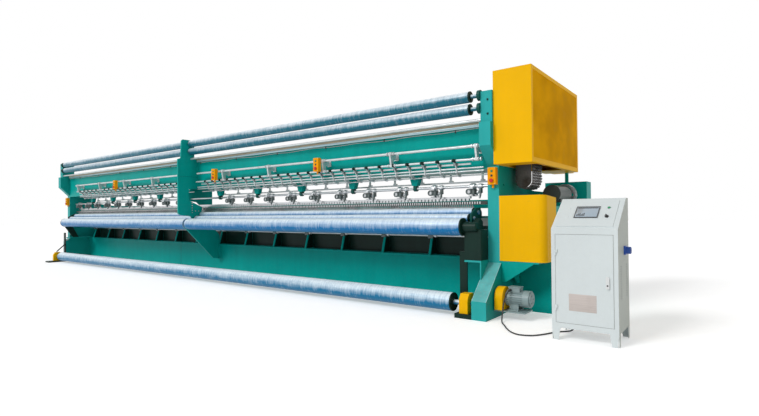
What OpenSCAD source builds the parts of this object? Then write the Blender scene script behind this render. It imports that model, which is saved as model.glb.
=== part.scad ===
// Raschel warp knitting machine for nets, with its control cabinet.
// Millimetres. X runs along the machine, Y from the viewer to the back, Z up.
// Origin: middle of the base beam's underside, on the floor.
// All modules draw from the base beam's front face and are shifted at the end.

/* [Frame] */
// Length over the outer faces of the two end frames
frame_len = 10920; // [8000:10:12000]
// Base beam, front to back
base_d = 900; // [800:10:1200]
// Base beam height
base_h = 540; // [480:5:620]
// Thickness of the end frame plates
end_t = 125; // [80:1:160]
// How far the end columns stand in front of the base beam
col_out = 424; // [380:1:470]
// How far the end frame heads stand in front of the base beam
head_out = 620; // [580:1:680]
// Height of the end frames
end_h = 2297; // [2260:1:2400]
// How far the feet stand in front of the base beam
foot_out = 802; // [760:1:860]
// Width of a foot
foot_w = 156; // [140:1:180]
// Spacing of the ribs on the base beam
rib_pitch = 727; // [600:1:900]

/* [Upper beam] */
// Underside of the upper beam
beam_z = 1517; // [1500:1:1540]
// Height of the upper beam's box
beam_h = 454; // [400:1:480]
// Upper beam, front to back
beam_d = 530; // [400:5:600]
// Spacing of the hanging brackets
bracket_pitch = 970; // [800:5:1100]
// Spacing of the arms that carry the front rails
arm_pitch = 1090; // [900:5:1200]

/* [Rollers] */
// Diameter of the two feed rollers at the top
feed_d = 116; // [100:1:124]
// Diameter of the take-up roller
takeup_d = 185; // [160:1:200]
// Diameter of the two press rollers
press_d = 100; // [88:1:104]
// Diameter of the cloth roll
cloth_d = 190; // [120:1:230]
// Space left between each end of the cloth roll and the end frame
cloth_end = 275; // [265:5:400]

/* [Knitting parts] */
// Needle spacing
needle_pitch = 24; // [20:1:40]
// Diameter of the swing shaft
swing_d = 30; // [24:1:36]
// Spacing of the fingers on the front rails
finger_pitch = 200; // [160:5:300]

/* [Drive end] */
// Width of the upper cover
cover_w = 395; // [380:1:480]
// Height of the upper cover
cover_h = 947; // [900:1:1000]
// Sheet thickness of the upper cover
cover_t = 5; // [3:0.5:8]
// Number of pattern chains side by side
chain_count = 6; // [3:1:7]
// Links in one pattern chain
chain_links = 40; // [32:2:44]
// Width of the lower cover
drive_w = 472; // [450:1:500]

/* [Cabinet] */
// Cabinet width
cab_w = 510; // [480:5:560]
// Cabinet depth
cab_d = 420; // [400:5:460]
// Cabinet height
cab_h = 1168; // [1140:1:1240]
// Depth of the sloping desk
desk_d = 340; // [300:5:370]
// Leg height
leg_h = 100; // [80:5:120]
// Sheet thickness of the cabinet
cab_t = 3; // [2:0.5:4]

/* [Cable] */
// Diameter of the motor cable
cable_d = 13; // [10:0.5:16]

/* [Hidden] */
$fn = 48;
front = -base_d / 2;
xr = frame_len / 2;
xi = xr - end_t;
beam_top = beam_z + beam_h;
beam_y = -430;
flange_t = 30;
run_gap = 0.05;
air = 0.5;
slide_gap = 0.3;
head_z = 1736;
foot_nose = 183;
// roller centres, from the base beam's front face
feed_y = -560;
feed_z1 = 2262;
feed_z2 = 2130;
takeup_y = -600;
takeup_z = 909;
press_y1 = -360;
press_z1 = 1058;
press_y2 = -462;
press_z2 = 995;
cloth_y = -690;
cloth_z = 137;
guide_top = 1236;
journal_d = 44;
axle_d = 60;
roll_shaft_d = 50;
left_foot_out = 510;
takeup_half = xi - 205;
feed_half = xi - 125;
press_half = xi - 195;
cloth_half = xi - cloth_end;
// front rails
rail_y = -550;
rail_z = 1750;
rail2_z = 1615;
swing_y = -300;
swing_z = 1345;
// middle frame
mid_t = 28;
wall_x = 81 - bracket_pitch / 2;
// drive end
drum_r = 84;
drum_x = xr + 148;
drum_y = -95;
drum_z = 1740;
cover_z = 1544;
cover_back = base_d + 159;
chain_w = 40;
chain_gap = 7;
chain_low = 1400;
motor_x = xr + 300;
motor_z = 1262;
wind_y = -505;
wind_z = 205;
// cabinet corner nearest the machine
cab_x = xr + 726;
cab_y = -1061;
body_h = 915;
door_gap = 0.9;
hinge_y = 6.5;
hinge_z = [leg_h + 140, body_h - 220];
box_w = 88;
box_h = 178;
box_deep = 55;

teal = [0, 0.58, 0.53];
yellow = [0.95, 0.70, 0.03];
dark = [0.10, 0.13, 0.13];
steel = [0.78, 0.80, 0.82];
white = [0.88, 0.90, 0.90];
grey = [0.45, 0.50, 0.50];
blue = [0.55, 0.72, 0.88];

module placed() {
  translate([0, front, 0])
  children();
}

module along_x(a, b, y, z, d) {
  translate([a, y, z])
  rotate([0, 90, 0])
  cylinder(d = d, h = b - a);
}

module box(x, y, z) {
  translate([x[0], y[0], z[0]])
  cube([x[1] - x[0], y[1] - y[0], z[1] - z[0]]);
}

// a plate in the Y-Z plane, from x to x + t
module side_plate(x, t, points) {
  translate([x, 0, 0])
  rotate([90, 0, 90])
  linear_extrude(height = t)
  polygon(points);
}

// a plate in the X-Z plane, from y to y + t
module front_plate(y, t, points) {
  translate([0, y + t, 0])
  rotate([90, 0, 0])
  linear_extrude(height = t)
  polygon(points);
}

// ---------- frame ----------

module base_beam() {
  placed()
  color(teal) {
    difference() {
      union() {
        box([-xi, xi], [0, base_d], [0, base_h - flange_t]);
        box([-xi, xi], [-15, base_d + 15], [base_h - flange_t, base_h]);
      }
      // joint between the two castings
      box([-1240, -1234], [-20, 5], [-1, base_h + 1]);
    }
    ribs();
    gusset();
  }
}

module ribs() {
  n = floor((xi - 60) / rib_pitch);
  for (i = [-n : n])
  side_plate(i * rib_pitch - 15, 30,
    [[-5, base_h - 0.5], [70, base_h + 262], [150, base_h + 262], [150, base_h - 0.5]]);
}

// plate under the take-up roller's middle bearing
module gusset() {
  difference() {
    side_plate(-mid_t / 2, mid_t, [
      [takeup_y - 58, takeup_z - 64], [takeup_y - 50, takeup_z + 24],
      [takeup_y + 50, takeup_z + 24], [takeup_y + 64, takeup_z - 58], [-100, 812],
      [0.5, 700], [0.5, 290], [-127, 300]]);
    along_x(-mid_t, mid_t, takeup_y, takeup_z, axle_d + 2 * run_gap);
  }
  box([-45, 45], [-16, 0.5], [290, base_h - flange_t + 1]);
}

module end_plate(x) {
  side_plate(x, end_t, [
    [-col_out, 0], [-col_out, head_z - head_out + col_out],
    [-head_out, head_z], [-head_out, 1975],
    [-580, 1975], [-580, end_h], [-330, end_h], [-330, 1990],
    [65, 1990], [65, 1400], [165, 1371], [384, 1339], [600, 1312],
    [base_d + 400, 1312], [base_d + 400, 0]]);
}

module foot(x, out, nose) {
  side_plate(x - foot_w / 2, foot_w, [
    [-out, 0], [-out, nose], [-col_out, base_h - 2], [-col_out + 1, 0]]);
}

module end_frames() {
  placed()
  color(teal) {
    difference() {
      union() {
        end_plate(xi);
        foot(xr - end_t / 2, foot_out, foot_nose);
        // shelf under the take-up gearbox
        box([xi - 185, xi + 1], [-605, 0], [545, 565]);
        box([xi - 12, xi + 1], [-605, -16], [330, 546]);
      }
      shaft_holes(xi - 1, end_t + 2);
    }
    // bearing arms of the pattern drum
    for (y = [drum_y - 34, drum_y + chain_count * (chain_w + chain_gap) + 20])
    difference() {
      box([xr - 1, drum_x + 34], [y, y + 20], [drum_z - 34, drum_z + 34]);
      translate([drum_x, y - 1, drum_z])
      rotate([-90, 0, 0])
      cylinder(d = 40 + 2 * run_gap, h = 22);
    }
    // post that holds the rear arm
    box([xr - 60, xr], [64, drum_y + chain_count * (chain_w + chain_gap) + 40],
      [drum_z - 60, drum_z + 60]);
    difference() {
      union() {
        end_plate(-xr);
        foot(-xr + end_t / 2, left_foot_out, 470);
        box([-xi - 1, -xi + 185], [-500, 0], [545, 565]);
      }
      shaft_holes(-xr - 1, end_t + 2);
    }
  }
}

module shaft_holes(x, h) {
  along_x(x, x + h, swing_y, swing_z, swing_d + 2 * run_gap);
}

function trough_z(y) = base_h + 360 + (y - 210) * 100 / 540;

module middle_frame() {
  placed()
  color(teal) {
    // front plate with the lug for the feed rollers
    difference() {
      side_plate(-mid_t / 2, mid_t, [
        [-745, 1060], [-785, 1085], [-790, 1990], [-735, 2010],
        [-722, feed_z1 + 40], [-700, feed_z1 + 62], [-530, feed_z1 + 62], [-490, feed_z1 + 30],
        [-490, 2010], [beam_y, 1990], [beam_y, beam_z], [-590, 1490], [-590, 1300],
        [-560, 1290], [-350, 1198], [-350, 1094], [-262, 1094],
        [-262, 1030], [-330, 960], [-470, 915], [-560, 1040]]);
      along_x(-50, 50, feed_y, feed_z1, journal_d + 2 * run_gap);
      along_x(-50, 50, feed_y, feed_z2, journal_d + 2 * run_gap);
      along_x(-50, 50, press_y1, press_z1, journal_d + 2 * run_gap);
      along_x(-50, 50, press_y2, press_z2, journal_d + 2 * run_gap);
      along_x(-50, 50, rail_y, 2010, 32);
      box([-50, 50], [beam_y - 18, beam_y + 10], [beam_top, beam_top + flange_t + 40]);
    }
    // bolt heads on the bearing plate
    for (i = [0 : 4])
    along_x(mid_t / 2, mid_t / 2 + 12, -540, 1100 + i * 40, 20);
    for (i = [0 : 2])
    along_x(mid_t / 2, mid_t / 2 + 12, -480 + i * 60, 1128, 20);
    // wall that carries the upper beam
    difference() {
      side_plate(wall_x, 20, [
        [-350, 1310], [-350, beam_z], [120, beam_z], [120, 1100],
        [300, trough_z(300)], [210, trough_z(210)], [90, 1040], [-200, 1290]]);
      along_x(wall_x - 5, wall_x + 25, swing_y, swing_z, swing_d + 2 * run_gap);
    }
    // rear leg and the tie beams between the end frames
    side_plate(wall_x, 20, [
      [base_d + 300, 1130], [base_d + 300, 250], [base_d + 400, 250], [base_d + 400, 1130]]);
    side_plate(wall_x, 20, [
      [base_d - 40, base_h], [base_d + 15, base_h], [base_d + 301, 1120],
      [base_d + 301, 1240], [base_d - 150, 1240], [base_d - 150, 1100], [base_d + 130, 1100]]);
    box([-xi, xi], [base_d + 300, base_d + 400], [120, 260]);
    box([-xi, xi], [base_d + 300, base_d + 400], [1120, 1240]);
  }
}

module upper_beam() {
  placed()
  color(teal) {
    box([-xi, xi], [beam_y, beam_y + beam_d], [beam_z, beam_top]);
    box([-xi, xi], [beam_y - 18, beam_y + beam_d + 18], [beam_top, beam_top + flange_t]);
    // tapered brackets that hold the swing shaft
    n = floor((xi - bracket_pitch / 2 - 80) / bracket_pitch);
    for (i = [-n - 1 : n]) {
      x = (i + 0.5) * bracket_pitch;
      front_plate(swing_y - 35, 70, [
        [x - 80, beam_z + 0.5], [x - 35, swing_z + 34],
        [x + 35, swing_z + 34], [x + 80, beam_z + 0.5]]);
    }
  }
}

// dark housing of the needle drive behind the ribs
module drive_trough() {
  placed()
  color(dark) {
    side_plate(-xi + 40, 2 * xi - 80, [
      [150, base_h], [150, base_h + 280], [210, trough_z(210)], [750, trough_z(750)],
      [750, base_h]]);
    n = floor((xi - 200) / rib_pitch);
    for (i = [-n : n])
    side_plate(i * rib_pitch - 20, 40, [
      [151, base_h + 262], [50, base_h + 262], [50, base_h + 274], [151, base_h + 290]]);
  }
}

// ---------- rollers ----------

module roller(half, y, z, d) {
  along_x(-half, half, y, z, d);
}

// leaves a journal where the middle frame holds the roller
module neck_cut(y, z, d, jd) {
  difference() {
    along_x(-mid_t, mid_t, y, z, d + 2);
    along_x(-mid_t - 1, mid_t + 1, y, z, jd);
  }
}

module journal_line(half, reach, y, z, d, jd) {
  difference() {
    roller(half, y, z, d);
    neck_cut(y, z, d, jd);
  }
  along_x(-reach, -half + 1, y, z, jd);
  along_x(half - 1, reach, y, z, jd);
}

module feed_roller_upper() {
  placed()
  color(blue)
  journal_line(feed_half, xi - 1, feed_y, feed_z1, feed_d, journal_d);
}

module feed_roller_lower() {
  placed()
  color(blue)
  journal_line(feed_half, xi - 1, feed_y, feed_z2, feed_d, journal_d);
}

module takeup_roller() {
  placed()
  color(blue)
  difference() {
    union() {
      along_x(-takeup_half, takeup_half, takeup_y, takeup_z, takeup_d);
      along_x(-xi + 145, -takeup_half + 1, takeup_y, takeup_z, axle_d);
      along_x(takeup_half - 1, xi - 150, takeup_y, takeup_z, axle_d);
    }
    neck_cut(takeup_y, takeup_z, takeup_d, axle_d);
  }
}

module press_roller_upper() {
  placed()
  color(blue)
  journal_line(press_half, xi - 130, press_y1, press_z1, press_d, journal_d);
}

module press_roller_lower() {
  placed()
  color(blue)
  journal_line(press_half, xi - 130, press_y2, press_z2, press_d, journal_d);
}

module cloth_roll() {
  placed()
  color(blue) {
    along_x(-cloth_half, cloth_half, cloth_y, cloth_z, cloth_d);
    along_x(-xi - 20, -cloth_half + 1, cloth_y, cloth_z, roll_shaft_d);
    along_x(cloth_half - 1, xi - 75, cloth_y, cloth_z, roll_shaft_d);
  }
}

module ring_x(x, w, y, z, bore, d) {
  difference() {
    along_x(x, x + w, y, z, d);
    along_x(x - 1, x + w + 1, y, z, bore + 2 * run_gap);
  }
}

module bearing_housings() {
  placed()
  color(dark) {
    for (s = [-1, 1]) {
      for (z = [feed_z1, feed_z2]) {
        w = 30;
        x = s > 0 ? xi - w : -xi;
        ring_x(x, w, feed_y, z, journal_d, 110);
      }
      // hanging plate for the press rollers
      px = s > 0 ? xi - 160 : -xi + 140;
      difference() {
        side_plate(px, 20, [
          [-520, 950], [-520, 1040], [-400, 1110], [-310, 1112],
          [-270, 1060], [-270, 1000], [-420, 940]]);
        along_x(px - 1, px + 21, press_y1, press_z1, journal_d + 2 * run_gap);
        along_x(px - 1, px + 21, press_y2, press_z2, journal_d + 2 * run_gap);
      }
      hx = s > 0 ? [xi - 160, xi] : [-xi, -xi + 160];
      box(hx, [-330, -300], [1000, 1020]);
    }
    // swing shaft bearings under the brackets
    n = floor((xi - bracket_pitch / 2 - 80) / bracket_pitch);
    for (i = [-n - 1 : n])
    difference() {
      union() {
        along_x((i + 0.5) * bracket_pitch - 20, (i + 0.5) * bracket_pitch + 20,
          swing_y, swing_z, 62);
        box([(i + 0.5) * bracket_pitch - 20, (i + 0.5) * bracket_pitch + 20],
          [swing_y - 30, swing_y + 30], [swing_z, swing_z + 34]);
      }
      along_x((i + 0.5) * bracket_pitch - 21, (i + 0.5) * bracket_pitch + 21,
        swing_y, swing_z, swing_d + 2 * run_gap);
    }
  }
}

// ---------- knitting parts ----------

module trick_plate() {
  placed()
  color(steel) {
    box([-xi + 60, xi - 60], [-308, -290], [1145, 1180]);
    box([-xi + 60, xi - 60], [-291, -250], [1145, 1155]);
    for (i = [-6 : 6])
    side_plate(i * rib_pitch + rib_pitch / 2 - 10, 20, [
      [-291, 1130], [-291, 1146], [-160, 1146], [250, 1000],
      [270, trough_z(270)], [210, trough_z(210)], [150, 940], [-180, 1120]]);
  }
}

function comb(x0, n, pitch, w, low, mid, top) = concat(
  [[x0 - pitch, low], [x0 - pitch, mid]],
  [for (i = [0 : n - 1]) for (k = [0 : 3])
    [x0 + i * pitch + (k < 2 ? 0 : w), k == 1 || k == 2 ? top : mid]],
  [[x0 + n * pitch, mid], [x0 + n * pitch, low]]);

module needle_bar() {
  n = floor((2 * xi - 420) / needle_pitch);
  placed()
  color(dark)
  front_plate(-308 - slide_gap - 8, 8, comb(-n * needle_pitch / 2, n, needle_pitch, 9, 1111, 1122, 1148));
}

module guides(y) {
  n = floor((2 * xi - 500) / (2 * needle_pitch));
  front_plate(y, 12, comb(-n * needle_pitch, n, 2 * needle_pitch, 30, guide_top, 1214, 1189));
}

module guide_bar_front() {
  placed()
  color(steel)
  guides(-283);
}

module guide_bar_back() {
  placed()
  color(steel)
  guides(-262);
}

module swing_shaft() {
  placed()
  color(steel)
  along_x(-xi - 60, xi + 60, swing_y, swing_z, swing_d);
}

function hanger_x(i) = bracket_pitch * (0.77 + i / 2);

module swing_hangers() {
  n = floor((xi - 140) / (bracket_pitch / 2) - 1.54) + 1;
  placed()
  color(dark)
  for (s = [-1, 1])
  for (i = [0 : n - 1]) {
    x = s * hanger_x(i);
    difference() {
      union() {
        along_x(x - 24, x + 24, swing_y, swing_z, 66);
        side_plate(x - 9, 18, [
          [-322, 1330], [-278, 1330], [-236, 1262], [-238, guide_top + slide_gap],
          [-288, guide_top + slide_gap], [-306, 1262]]);
        along_x(x - 30, x + 30, swing_y + 12, 1281, 40);
      }
      along_x(x - 31, x + 31, swing_y, swing_z, swing_d);
    }
    // lighter lever beside the hanger
    difference() {
      union() {
        along_x(x + 76, x + 104, swing_y, swing_z, 54);
        side_plate(x + 84, 12, [
          [-318, 1330], [-282, 1330], [-300, 1262], [-330, 1210], [-348, 1210], [-330, 1268]]);
      }
      along_x(x + 70, x + 110, swing_y, swing_z, swing_d);
    }
  }
}

// ---------- front rails ----------

function bay(s) = s > 0 ? [200, xi - 42] : [-4650, -200];

module rail_rods() {
  placed()
  color(steel) {
    for (s = [-1, 1]) {
      b = bay(s);
      along_x(b[0], b[1], rail_y, rail_z, 30);
      along_x(b[0] - (s > 0 ? 60 : 0), b[1], -530, rail2_z, 24);
      along_x(b[0] - (s > 0 ? 120 : 0), b[1] + 20, -470, 1532, 18);
      along_x(b[0] - (s > 0 ? 120 : 0), b[1] + 20, -462, 1500, 16);
      along_x(b[0] - (s > 0 ? 120 : 0), b[1] + 20, -375, 1462, 16);
      n = floor((b[1] - b[0]) / finger_pitch);
      for (i = [0 : n - 1]) {
        x = b[0] + (i + 0.12) * finger_pitch;
        box([x, x + finger_pitch * 0.76], [-494, -474], [1566, 1584]);
      }
      box([b[0] + 100, s > 0 ? b[1] : wall_x - 10], [-150, -120], [1394, 1412]);
    }
    // long rod and tie bar above the upper beam
    along_x(-xi, xi, rail_y, 2010, 32);
    box([-xi, xi], [-405, -385], [beam_top + flange_t, beam_top + flange_t + 42]);
  }
}

module rail_arms() {
  placed()
  color(white) {
    for (k = [0 : 9]) {
      x = xi - 65 - k * arm_pitch;
      if (abs(x) > 300 && x > -4700)
      difference() {
        union() {
          side_plate(x - 10, 20, [
            [-575, 1735], [-575, 1765], [-530, 1775], [beam_y, 1740],
            [beam_y, 1690], [-505, 1690], [-512, 1600], [-550, 1600]]);
          along_x(x - 22, x + 22, rail_y, rail_z, 48);
          along_x(x - 22, x + 22, -530, rail2_z, 40);
          box([x - 30, x + 30], [beam_y - 8, beam_y], [1680, 1760]);
        }
        along_x(x - 30, x + 30, rail_y, rail_z, 30);
        along_x(x - 30, x + 30, -530, rail2_z, 24);
      }
    }
    // fingers between the rails
    for (s = [-1, 1]) {
      b = bay(s);
      n = floor((b[1] - b[0]) / finger_pitch);
      for (i = [1 : n - 1]) {
        x = b[0] + i * finger_pitch;
        difference() {
          union() {
            box([x - finger_pitch * 0.12, x + finger_pitch * 0.12], [-498, -470], [1560, 1590]);
            side_plate(x - 5, 10, [
              [-550, 1632], [-508, 1630], [-468, 1566], [-450, 1540],
              [-447, 1486], [-479, 1486], [-486, 1535], [-506, 1566], [-550, 1597]]);
            side_plate(x - 14, 10, [
              [-479, 1487], [-447, 1512], [-358, 1476], [-360, 1448], [-392, 1448]]);
          }
          along_x(x - 30, x + 30, -530, rail2_z, 24);
          along_x(x - 30, x + 30, -470, 1532, 18);
          along_x(x - 30, x + 30, -462, 1500, 16);
          along_x(x - 30, x + 30, -375, 1462, 16);
        }
      }
      // droppers of the inner bar
      m = floor((b[1] - b[0] - 200) / (2 * finger_pitch));
      for (i = [0 : m]) {
        x = b[0] + 150 + i * 2 * finger_pitch;
        box([x - 20, x + 20], [-156, -114], [1412, 1430]);
        box([x - 12, x + 12], [-150, -138], [1430, beam_z]);
      }
    }
  }
}

// ---------- take-up and winding ----------

module takeup_gearbox() {
  placed()
  color(dark)
  difference() {
    union() {
      box([xi - 184, xi], [-602, -430], [565, 880]);
      along_x(xi - 184, xi - 40, takeup_y, takeup_z, 104);
      box([xi - 184, xi - 40], [-602, -430], [870, 910]);
      side_plate(xi - 110, 60, [[-560, 880], [-545, 960], [-500, 1000], [-440, 960], [-440, 880]]);
      // left end bracket of the take-up roller
      side_plate(-xi + 150, 22, [
        [-640, 880], [-640, 940], [-560, 950], [-440, 840], [-300, 565], [-420, 565]]);
      along_x(-xi + 150, -xi + 172, takeup_y, takeup_z, 100);
    }
    along_x(xi - 185, xi - 140, takeup_y, takeup_z, axle_d + 2 * run_gap);
    along_x(-xi + 149, -xi + 173, takeup_y, takeup_z, axle_d + 2 * run_gap);
  }
}

// floor plates and uprights of the cloth roll
module roll_stands() {
  placed()
  color(dark) {
    box([xi - 205, xi - 20], [-800, -450], [0, 45]);
    box([-xi - 90, -xi + 110], [-900, -left_foot_out], [0, 30]);
    box([xi - 270, xi - 185], [-548, -530], [0, 650]);
    box([xi - 270, xi - 185], [-600, -450], [0, 12]);
    box([-xi - 80, -xi + 10], [-left_foot_out - 18, -left_foot_out], [0, 670]);
    side_plate(-xi - 25, 16, [[-left_foot_out - 17, 410], [-left_foot_out - 17, 380],
      [-690, 226], [-705, 241]]);
  }
}

module roll_brackets() {
  placed()
  color(yellow) {
    bracket(xi - 165, 95, 45, 240);
    bracket(-xi - 20, 60, 30, 225);
  }
}

module bracket(x, w, low, top) {
  difference() {
    side_plate(x, w, [
      [-775, low], [-775, top - 60], [-735, top], [-640, top], [-590, low + 40], [-590, low]]);
    along_x(x - 1, x + w + 1, cloth_y, cloth_z, roll_shaft_d + 2 * run_gap);
  }
}

module wind_belt_cover() {
  placed()
  color(yellow)
  difference() {
    union() {
      along_x(xr + 32, xr + 112, wind_y - 25, wind_z, 222);
      box([xr + 32, xr + 112], [wind_y - 136, wind_y + 86], [95, wind_z]);
      box([xr + 15.5, xr + 33], [wind_y - 60, wind_y + 20], [130, 240]);
    }
    along_x(xr + 60, xr + 113, wind_y, wind_z, 120);
  }
}

module wind_motor() {
  placed()
  color(grey)
  difference() {
    union() {
      along_x(xr + 90, xr + 118, wind_y, wind_z, 119);
      along_x(xr + 118, xr + 130, wind_y, wind_z, 160);
      along_x(xr + 130, xr + 290, wind_y, wind_z, 142);
      // cooling fins
      for (a = [0 : 15 : 345])
      translate([xr + 130, wind_y, wind_z])
      rotate([a, 0, 0])
      translate([0, -2, 60])
      cube([160, 4, 20]);
      along_x(xr + 290, xr + 352, wind_y, wind_z, 166);
      along_x(xr + 352, xr + 362, wind_y, wind_z, 140);
      // terminal box
      box([xr + 145, xr + 255], [wind_y - 45, wind_y + 45], [wind_z + 60, wind_z + 108]);
      box([xr + 140, xr + 260], [wind_y - 50, wind_y + 50], [wind_z + 108, wind_z + 116]);
      // feet
      box([xr + 150, xr + 250], [wind_y - 80, wind_y + 80], [90, 102]);
      box([xr + 155, xr + 245], [wind_y - 55, wind_y - 40], [95, wind_z - 30]);
      box([xr + 155, xr + 245], [wind_y + 40, wind_y + 55], [95, wind_z - 30]);
      // plate under the motor, fixed to the foot
      box([xr + 15.5, xr + 330], [wind_y - 110, wind_y + 100], [76, 90]);
    }
    for (a = [0 : 60 : 300])
    rotate([0, 0, 0])
    along_x(xr + 350, xr + 370, wind_y + 40 * cos(a), wind_z + 40 * sin(a), 16);
  }
}

// ---------- drive end ----------

module drive_cover() {
  top = 1228;
  low = 558;
  r = 70;
  placed()
  color(yellow)
  difference() {
    side_plate(xr, drive_w, [
      [-col_out, low], [-col_out, top], [-80, top - 24], [-80, low]]);
    difference() {
      box([xr + drive_w - r, xr + drive_w + 1], [-col_out - 1, -col_out + r], [low - 1, top + 1]);
      translate([xr + drive_w - r, -col_out + r, low - 2])
      cylinder(r = r, h = top - low + 4);
    }
  }
}

module drive_pedestal() {
  placed()
  color(teal) {
    // foundation box and the body behind the lower cover
    box([xr, xr + 470], [-70, base_d + 300], [0, 540]);
    box([xr, xr + 410], [-79.5, base_d - 150], [540, 1120]);
    // brace under the lower cover
    side_plate(xr + 60, 14, [[-420, 557.5], [-79, 557.5], [-79, 300], [-130, 300]]);
    front_plate(-420, 14, [
      [xr, 557.5], [xr + 345, 557.5], [xr + 345, 535], [xr + 70, 350], [xr, 330]]);
    box([xr, xr + 400], [-420, -70], [540, 557.5]);
    // motor shelf, box behind the pulley and the link to the belt cover
    box([motor_x - 110, motor_x + 110], [320, 780], [1120, 1150]);
    box([motor_x - 80, motor_x + 80], [340, 760], [1150, 1162]);
    box([xr, xr + 560], [base_d + 20, base_d + 350], [1120, 1140]);
    box([xr, xr + 410], [base_d - 151, base_d + 21], [900, 1000]);
    box([xr, xr + 410], [base_d + 20, base_d + 300], [539, 1121]);
    box([xr, xr + 500], [base_d + 130, base_d + 330], [1140, 1425]);
    box([xr + 225, xr + 262], [base_d + 200, base_d + 230], [1425, 1560]);
  }
}

module main_motor() {
  placed()
  color(dark) {
    translate([motor_x, 340, motor_z])
    rotate([-90, 0, 0])
    cylinder(d = 196, h = 420);
    translate([motor_x, 330, motor_z])
    rotate([-90, 0, 0])
    cylinder(d = 198, h = 110);
    translate([motor_x, 760, motor_z])
    rotate([-90, 0, 0])
    cylinder(d = 150, h = 20);
    for (y = [380, 640])
    box([motor_x - 85, motor_x + 85], [y, y + 60], [1162, 1200]);
  }
}

module motor_pulley() {
  placed()
  color(steel)
  translate([motor_x, 820, motor_z])
  rotate([-90, 0, 0])
  difference() {
    union() {
      cylinder(d = 256, h = 18);
      translate([0, 0, 18])
      cylinder(d = 236, h = 8);
      translate([0, 0, 26])
      cylinder(d = 256, h = 14);
      translate([0, 0, 40])
      cylinder(d = 236, h = 8);
      translate([0, 0, 48])
      cylinder(d = 256, h = 16);
      translate([0, 0, -40 + slide_gap])
      cylinder(d = 52, h = 41);
    }
    for (a = [0 : 60 : 300])
    rotate([0, 0, a])
    translate([80, 0, -1])
    cylinder(d = 44, h = 70);
  }
}

module pattern_cover() {
  x1 = xr + cover_w;
  z1 = cover_z + cover_h;
  placed()
  color(yellow)
  difference() {
    box([xr, x1], [-552, cover_back], [cover_z, z1]);
    box([xr + cover_t, x1 - cover_t], [-552 + cover_t, cover_back - cover_t],
      [cover_z + cover_t, z1 - cover_t]);
    // opening for the chains
    box([xr + 25, x1 - 40], [-300, 600], [cover_z - 1, cover_z + cover_t + 1]);
    // cut-out for the drum's bearings
    box([xr - 1, xr + cover_t + 1], [-200, 300], [drum_z - 60, drum_z + 60]);
    // side window
    box([x1 - cover_t - 1, x1 + 1], [-507, cover_back - 45], [cover_z + 50, z1 - 40]);
  }
}

module belt_cover() {
  placed()
  color(yellow)
  box([xr, xr + 250], [cover_back, base_d + 500], [1560, 1900]);
}

module pattern_panel() {
  x1 = xr + cover_w;
  z0 = cover_z;
  placed()
  color([0.78, 0.46, 0.10, 0.9])
  box([x1 - cover_t - 4, x1 - cover_t], [-530, cover_back - 20], [z0 + 25, z0 + cover_h - 18]);
}

module pattern_drum() {
  depth = chain_count * (chain_w + chain_gap);
  placed()
  color(steel)
  translate([drum_x, drum_y, drum_z])
  rotate([-90, 0, 0]) {
    cylinder(r = drum_r - air, h = depth);
    translate([0, 0, -40])
    cylinder(d = 40, h = depth + 180);
  }
}

// points along the chain loop, by share of its length
function loop_len(h) = 2 * h + 2 * PI * drum_r;

function loop_at(s, h) =
  s < h ? [drum_r, drum_z - s, 0]
  : s < h + PI * drum_r ? let (a = (s - h) / drum_r * 180 / PI)
    [drum_r * cos(a), drum_z - h - drum_r * sin(a), a]
  : s < 2 * h + PI * drum_r ? [-drum_r, drum_z - h + s - h - PI * drum_r, 180]
  : let (a = (s - 2 * h - PI * drum_r) / drum_r * 180 / PI)
    [-drum_r * cos(a), drum_z + drum_r * sin(a), 180 + a];

// height of a link's head, which shifts the guide bar
function link_step(i, k) = 8 + 7 * abs(sin(i * 45 + k * 37));

module chain_link(s, y, step) {
  h = drum_z - chain_low;
  p = loop_at(s, h);
  pitch = loop_len(h) / chain_links;
  translate([drum_x + p[0], y, p[1]])
  rotate([0, p[2], 0]) {
    translate([0, chain_w, 0])
    rotate([90, 0, 0])
    linear_extrude(height = chain_w)
    polygon([[0, -pitch / 2 + 1.5], [0, pitch / 2 - 1.5], [step, pitch / 2 - 6],
      [step, -pitch / 2 + 6]]);
    translate([4, -3, 0])
    rotate([-90, 0, 0])
    cylinder(d = 6, h = chain_w + 6, $fn = 16);
  }
}

module pattern_chains() {
  h = drum_z - chain_low;
  pitch = loop_len(h) / chain_links;
  placed()
  color(dark) {
    for (k = [0 : chain_count - 1])
    for (i = [0 : chain_links - 1])
    chain_link((i + 0.5) * pitch, drum_y + k * (chain_w + chain_gap), link_step(i, k));
    // side straps that join the links
    for (k = [0 : chain_count - 1])
    translate([0, drum_y + k * (chain_w + chain_gap) - 2, 0])
    chain_strap(4);
    // guard plate in front, held by the bearing arm
    translate([drum_x, drum_y - 14, 0]) {
      box([3 - drum_r, drum_r - 3], [0, 4], [chain_low, drum_z - 25]);
      translate([0, 0, chain_low])
      rotate([-90, 0, 0])
      cylinder(r = drum_r - 3, h = 4);
    }
  }
}

// racetrack strap on the chain's line
module chain_strap(t) {
  h = drum_z - chain_low;
  translate([drum_x, t, drum_z])
  rotate([90, 0, 0])
  difference() {
    union() {
      linear_extrude(height = t)
      translate([-drum_r - 7, -h])
      square([2 * drum_r + 14, h]);
      cylinder(r = drum_r + 7, h = t);
      translate([0, -h, 0])
      cylinder(r = drum_r + 7, h = t);
    }
    translate([-drum_r, -h, -1])
    cube([2 * drum_r, h, t + 2]);
    translate([0, 0, -1])
    cylinder(r = drum_r, h = t + 2);
    translate([0, -h, -1])
    cylinder(r = drum_r, h = t + 2);
  }
}

// ---------- stop boxes ----------

// each box: middle X, back Y, underside Z
box_x = [xr - 56, 3020, 745, -2640, -xr + 60];
box_y = [-col_out, rail_y - 15, rail_y - 15, rail_y - 15, -col_out];
box_z = [1345, 1612, 1612, 1596, 1318];

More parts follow.
